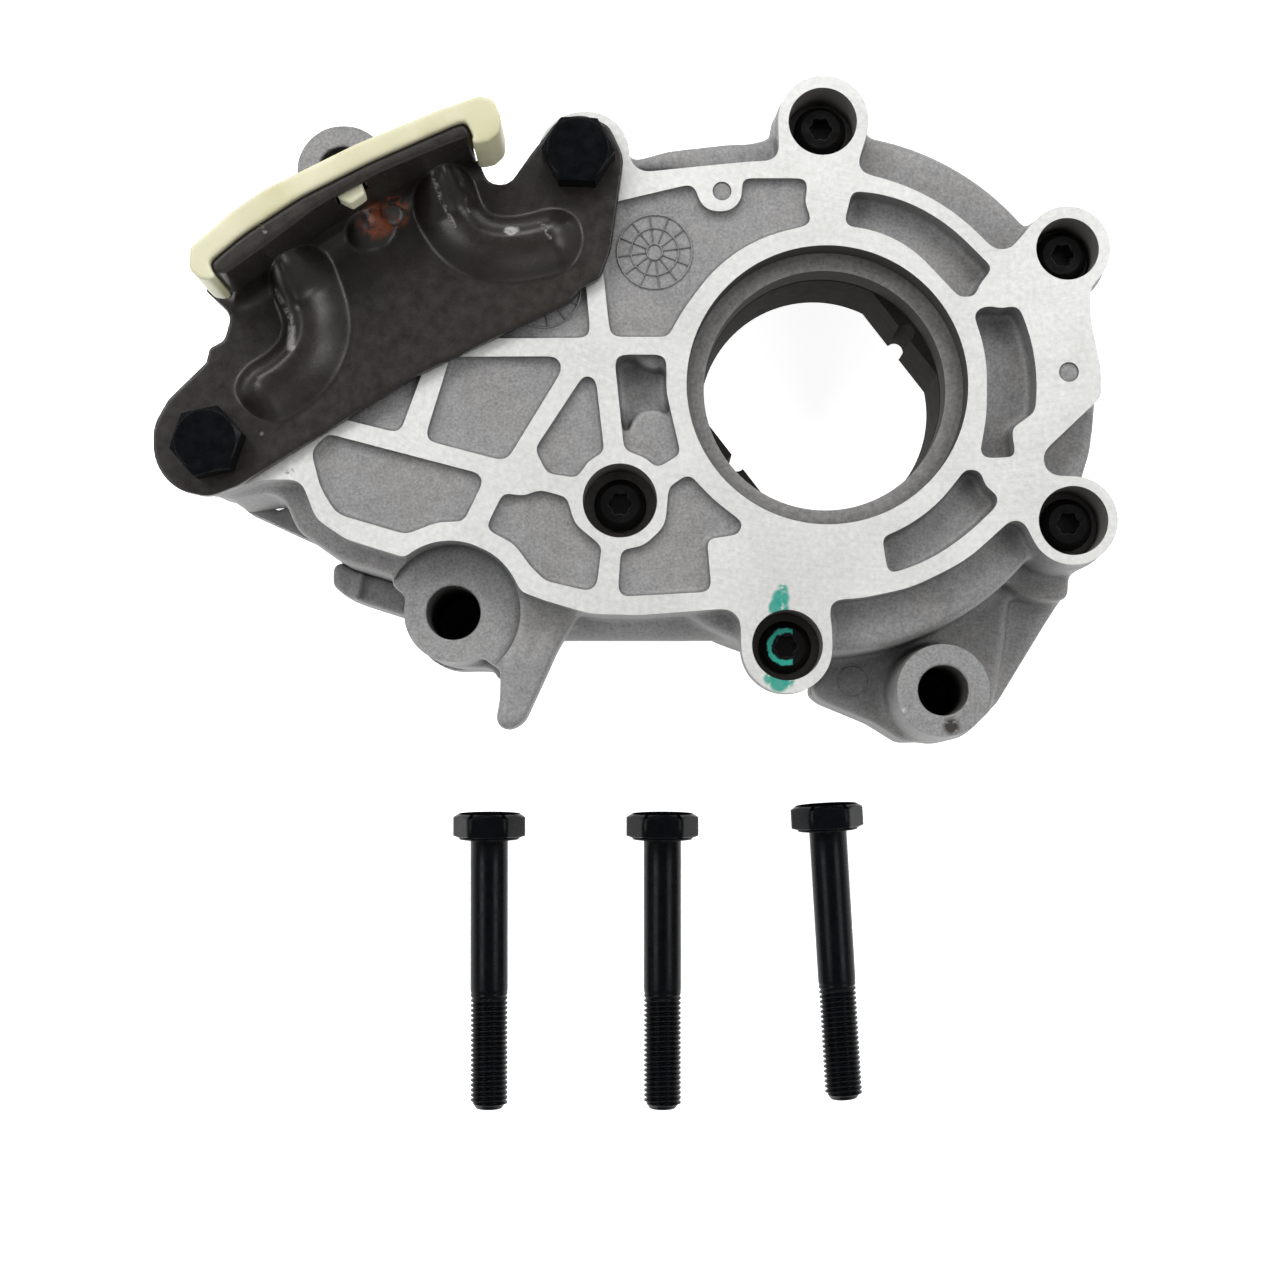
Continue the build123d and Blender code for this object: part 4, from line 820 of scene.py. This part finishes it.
def dial(cx, cy, z):
    def build(bm):
        for r, w in ((7.15, 0.42), (4.55, 0.34), (1.5, 0.40)):
            ring_mesh(bm, cx, cy, z, r, w, 0.42)
        for k in range(12):
            a = 2 * math.pi * (k + 0.25) / 12
            c, s = math.cos(a), math.sin(a)
            bar_mesh(bm, cx + 4.6 * c, cy + 4.6 * s, cx + 7.1 * c, cy + 7.1 * s, z, 0.34, 0.40)
            bar_mesh(bm, cx + 1.6 * c, cy + 1.6 * s, cx + 4.5 * c, cy + 4.5 * s, z, 0.30, 0.36)
    return build


# ---- loose bolts --------------------------------------------------------------------
def bolt_mesh(name, shank_r, length, head_h, af, thread_from, pitch):
    """A hexagon bolt along +Z with its head below z = 0, chamfered corners, rolled thread and a chamfered tip."""
    bm = bmesh.new()
    seg = 96
    ang = [2 * math.pi * k / seg for k in range(seg)]

    def hexr(a, inset=0.0):
        t = a % (math.pi / 3) - math.pi / 6
        return min((af / 2 - inset) / math.cos(t), 7.30)

    def ring(fr, fz):
        return [bm.verts.new((fr(a) * math.cos(a) * MM, fr(a) * math.sin(a) * MM, fz(a) * MM)) for a in ang]

    def skin(a, b):
        for k in range(seg):
            j = (k + 1) % seg
            bm.faces.new((a[k], a[j], b[j], b[k]))

    cham = lambda a: max(0.0, hexr(a) - 6.15) * 0.62
    rings = [
        ring(lambda a: 2.2, lambda a: -head_h + 0.10),
        ring(lambda a: 5.6, lambda a: -head_h + 0.06),
        ring(lambda a: 6.05, lambda a: -head_h),
        ring(lambda a: 6.20, lambda a: -head_h + 0.04),
        ring(lambda a: hexr(a, 0.12), lambda a: -head_h + 0.04 + cham(a)),
        ring(lambda a: hexr(a), lambda a: -head_h + 0.22 + cham(a)),
        ring(lambda a: hexr(a), lambda a: -0.55 - 0.4 * cham(a)),
        ring(lambda a: hexr(a, 0.15), lambda a: -0.40 - 0.4 * cham(a)),
        ring(lambda a: 6.1, lambda a: -0.30),
        ring(lambda a: 6.0, lambda a: 0.0),
        ring(lambda a: shank_r + 0.45, lambda a: 0.0),
        ring(lambda a: shank_r + 0.12, lambda a: 0.12),
        ring(lambda a: shank_r, lambda a: 0.45),
    ]
    nz = 6
    for i in range(1, nz):
        zz = 0.45 + (thread_from - 1.6 - 0.45) * i / nz
        rings.append(ring(lambda a: shank_r, lambda a, zz=zz: zz))
    rings.append(ring(lambda a: shank_r, lambda a: thread_from - 1.6))
    major, minor = shank_r - 0.04, shank_r - 0.56
    step = pitch / 10.0
    z = thread_from - 1.0
    end = length - 1.0
    while z < end:
        fade = min(1.0, max(0.0, (z - thread_from + 1.0) / 2.2))

        def rad(a, z=z, fade=fade):
            t = (z / pitch - a / (2 * math.pi)) % 1.0
            tri = abs(2 * t - 1)
            prof = smooth_scalar((tri - 0.10) / 0.72)
            return major - (major - minor) * (1 - prof) * fade

        rings.append(ring(rad, lambda a, z=z: z))
        z += step
    rings.append(ring(lambda a: minor - 0.05, lambda a: length - 0.9))
    rings.append(ring(lambda a: minor - 0.55, lambda a: length - 0.12))
    rings.append(ring(lambda a: minor - 0.85, lambda a: length))
    for a, b in zip(rings, rings[1:]):
        skin(a, b)
    for r_, zc, flip in ((rings[0], -head_h + 0.12, True), (rings[-1], length, False)):
        c = bm.verts.new((0, 0, zc * MM))
        for k in range(seg):
            j = (k + 1) % seg
            bm.faces.new((c, r_[j], r_[k]) if flip else (c, r_[k], r_[j]))
    bmesh.ops.recalc_face_normals(bm, faces=bm.faces)
    me = bpy.data.meshes.new(name)
    bm.to_mesh(me)
    bm.free()
    return me


def smooth_scalar(t):
    t = min(1.0, max(0.0, t))
    return t * t * (3 - 2 * t)


def make_loose_bolt(node, body, lean):
    lo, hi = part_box(node)
    me = bolt_mesh(node + "_steel", 3.78, 54.2, 5.2, 13.0, 31.6, 1.0)
    me.materials.append(black)
    me.materials.append(matte_black)
    c, q = face_data(me)
    me.polygons.foreach_set("material_index", (np.abs(q[:, 2]) > 0.8).astype(np.int32) * (c[:, 2] < 1.0).astype(np.int32))
    shade(me, 32)
    o = add(node + "_steel", me)
    dip = math.asin((6.5 - 3.95) / (54.2 - 1.2))
    # axis to -Y with a flat of the head down, tip on the surface
    rot = Matrix.Rotation(math.radians(lean), 4, "Z") @ Matrix.Rotation(dip, 4, "X") @ Matrix.Rotation(math.radians(90), 4, "X")
    me.transform(rot)
    p = points(me)
    mid = (lo + hi) * 500.0
    cx = (p[:, 0].min() + p[:, 0].max()) / 2
    shift = np.array([mid.x - cx, hi.y * 1000 - 0.01 - p[:, 1].max(), lo.z * 1000 + 0.005 - p[:, 2].min()])
    put_points(me, p + shift)
    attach(o, body)
    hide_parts(node)
    return o


housing = make_housing()
cover = make_cover()
bracket = make_bracket()
shoe = make_shoe()
marks_piece("date_dial_upper", dial(-32.75, 25.75, 38.47), cast)
marks_piece("ejector_ring", lambda bm: ring_mesh(bm, 6.6, -55.44, 15.97, 2.95, 0.42, 0.22), cast)
marks_piece("date_dial_lower", dial(-54.0, 18.3, 38.47), cast)
for node, body, lean in (("mounting_bolt_a", "loose_bolt_a", 0.0), ("mounting_bolt_b", "loose_bolt_b", 0.0), ("mounting_bolt_c", "loose_bolt_c", 3.4)):
    make_loose_bolt(node, body, lean)


# ---- stage, light, camera -------------------------------------------------------------
def floor():
    bm = bmesh.new()
    s, n = 1.6, 12
    z = -0.00025
    grid = [[bm.verts.new(((-s + 2 * s * i / n), (-s + 2 * s * j / n), z)) for j in range(n + 1)] for i in range(n + 1)]
    for i in range(n):
        for j in range(n):
            bm.faces.new((grid[i][j], grid[i + 1][j], grid[i + 1][j + 1], grid[i][j + 1]))
    me = bpy.data.meshes.new("studio_floor")
    bm.to_mesh(me)
    bm.free()
    m = Mat("studio_floor")
    m.set(color=(0.80, 0.80, 0.80), rough=0.9, spec=0.1)
    m.b.inputs["Emission Color"].default_value = (1.0, 1.0, 1.0, 1.0)
    # Painted shadow: the floor is dark and gives no light in patches under the mount holes, so the holes look black.
    hole_shadow = m.spot(*MOUNTS[0][:2], 7.5, 1.5)
    for mx, my, hr, br in MOUNTS[1:]:
        hole_shadow = m.math("MAXIMUM", hole_shadow, m.spot(mx, my, 7.5, 1.5))
    m.link(m.range(hole_shadow, 0.0, 1.0, 0.86, 0.0), m.b.inputs["Emission Strength"])
    m.link(m.mix(hole_shadow, (0.80, 0.80, 0.80), (0.05, 0.05, 0.05)), m.b.inputs["Base Color"])
    me.materials.append(m.m)
    o = add("studio_floor", me)
    return o


def area(name, loc, target, size, power, color=(1, 1, 1), size_y=None):
    l = bpy.data.lights.new(name, "AREA")
    l.shape = "RECTANGLE" if size_y else "SQUARE"
    l.size = size
    if size_y:
        l.size_y = size_y
    l.energy = power
    l.color = color
    o = bpy.data.objects.new(name, l)
    scene.collection.objects.link(o)
    o.location = loc
    d = Vector(target) - Vector(loc)
    o.rotation_euler = d.to_track_quat("-Z", "Y").to_euler()
    return o


floor()
CENTRE = (-0.035, 0.0, 0.02)
for k, (turn, lean, watts) in enumerate(((90, 45, 5.0), (38, 43, 3.6), (142, 42, 4.4), (-12, 44, 2.6), (192, 43, 3.0), (278, 50, 0.8))):
    a, b = math.radians(turn), math.radians(lean)
    at = (CENTRE[0] + 1.05 * math.sin(b) * math.cos(a), CENTRE[1] + 1.05 * math.sin(b) * math.sin(a), 1.05 * math.cos(b))
    area("softbox_%d" % k, at, CENTRE, 0.42, watts)

world = bpy.data.worlds.new("studio")
scene.world = world
world.use_nodes = True
wt = world.node_tree
back = wt.nodes["Background"]
tc = wt.nodes.new("ShaderNodeTexCoord")
sx = wt.nodes.new("ShaderNodeSeparateXYZ")
wt.links.new(tc.outputs["Generated"], sx.inputs[0])
up = wt.nodes.new("ShaderNodeMapRange")
wt.links.new(sx.outputs[2], up.inputs["Value"])
for k, v in zip(("From Min", "From Max", "To Min", "To Max"), (0.0, 0.9, 0.62, 0.26)):
    up.inputs[k].default_value = v
aft = wt.nodes.new("ShaderNodeMapRange")
wt.links.new(sx.outputs[1], aft.inputs["Value"])
for k, v in zip(("From Min", "From Max", "To Min", "To Max"), (-1.0, 1.0, 0.78, 1.15)):
    aft.inputs[k].default_value = v
both = wt.nodes.new("ShaderNodeMath")
both.operation = "MULTIPLY"
wt.links.new(up.outputs["Result"], both.inputs[0])
wt.links.new(aft.outputs["Result"], both.inputs[1])
wt.links.new(both.outputs[0], back.inputs[1])
back.inputs[0].default_value = (0.97, 0.98, 1.0, 1)
scene.view_settings.view_transform = "Standard"

cam_data = bpy.data.cameras.new("camera")
cam_data.sensor_width = 36.0
cam_data.lens = 2236.0 * 36.0 / 1280.0
cam_data.clip_start = 0.01
cam = bpy.data.objects.new("camera", cam_data)
scene.collection.objects.link(cam)
cam.location = (-0.03553, -0.07501, 0.460)
cam.rotation_euler = (math.asin(0.06279), 0, 0)
scene.camera = cam
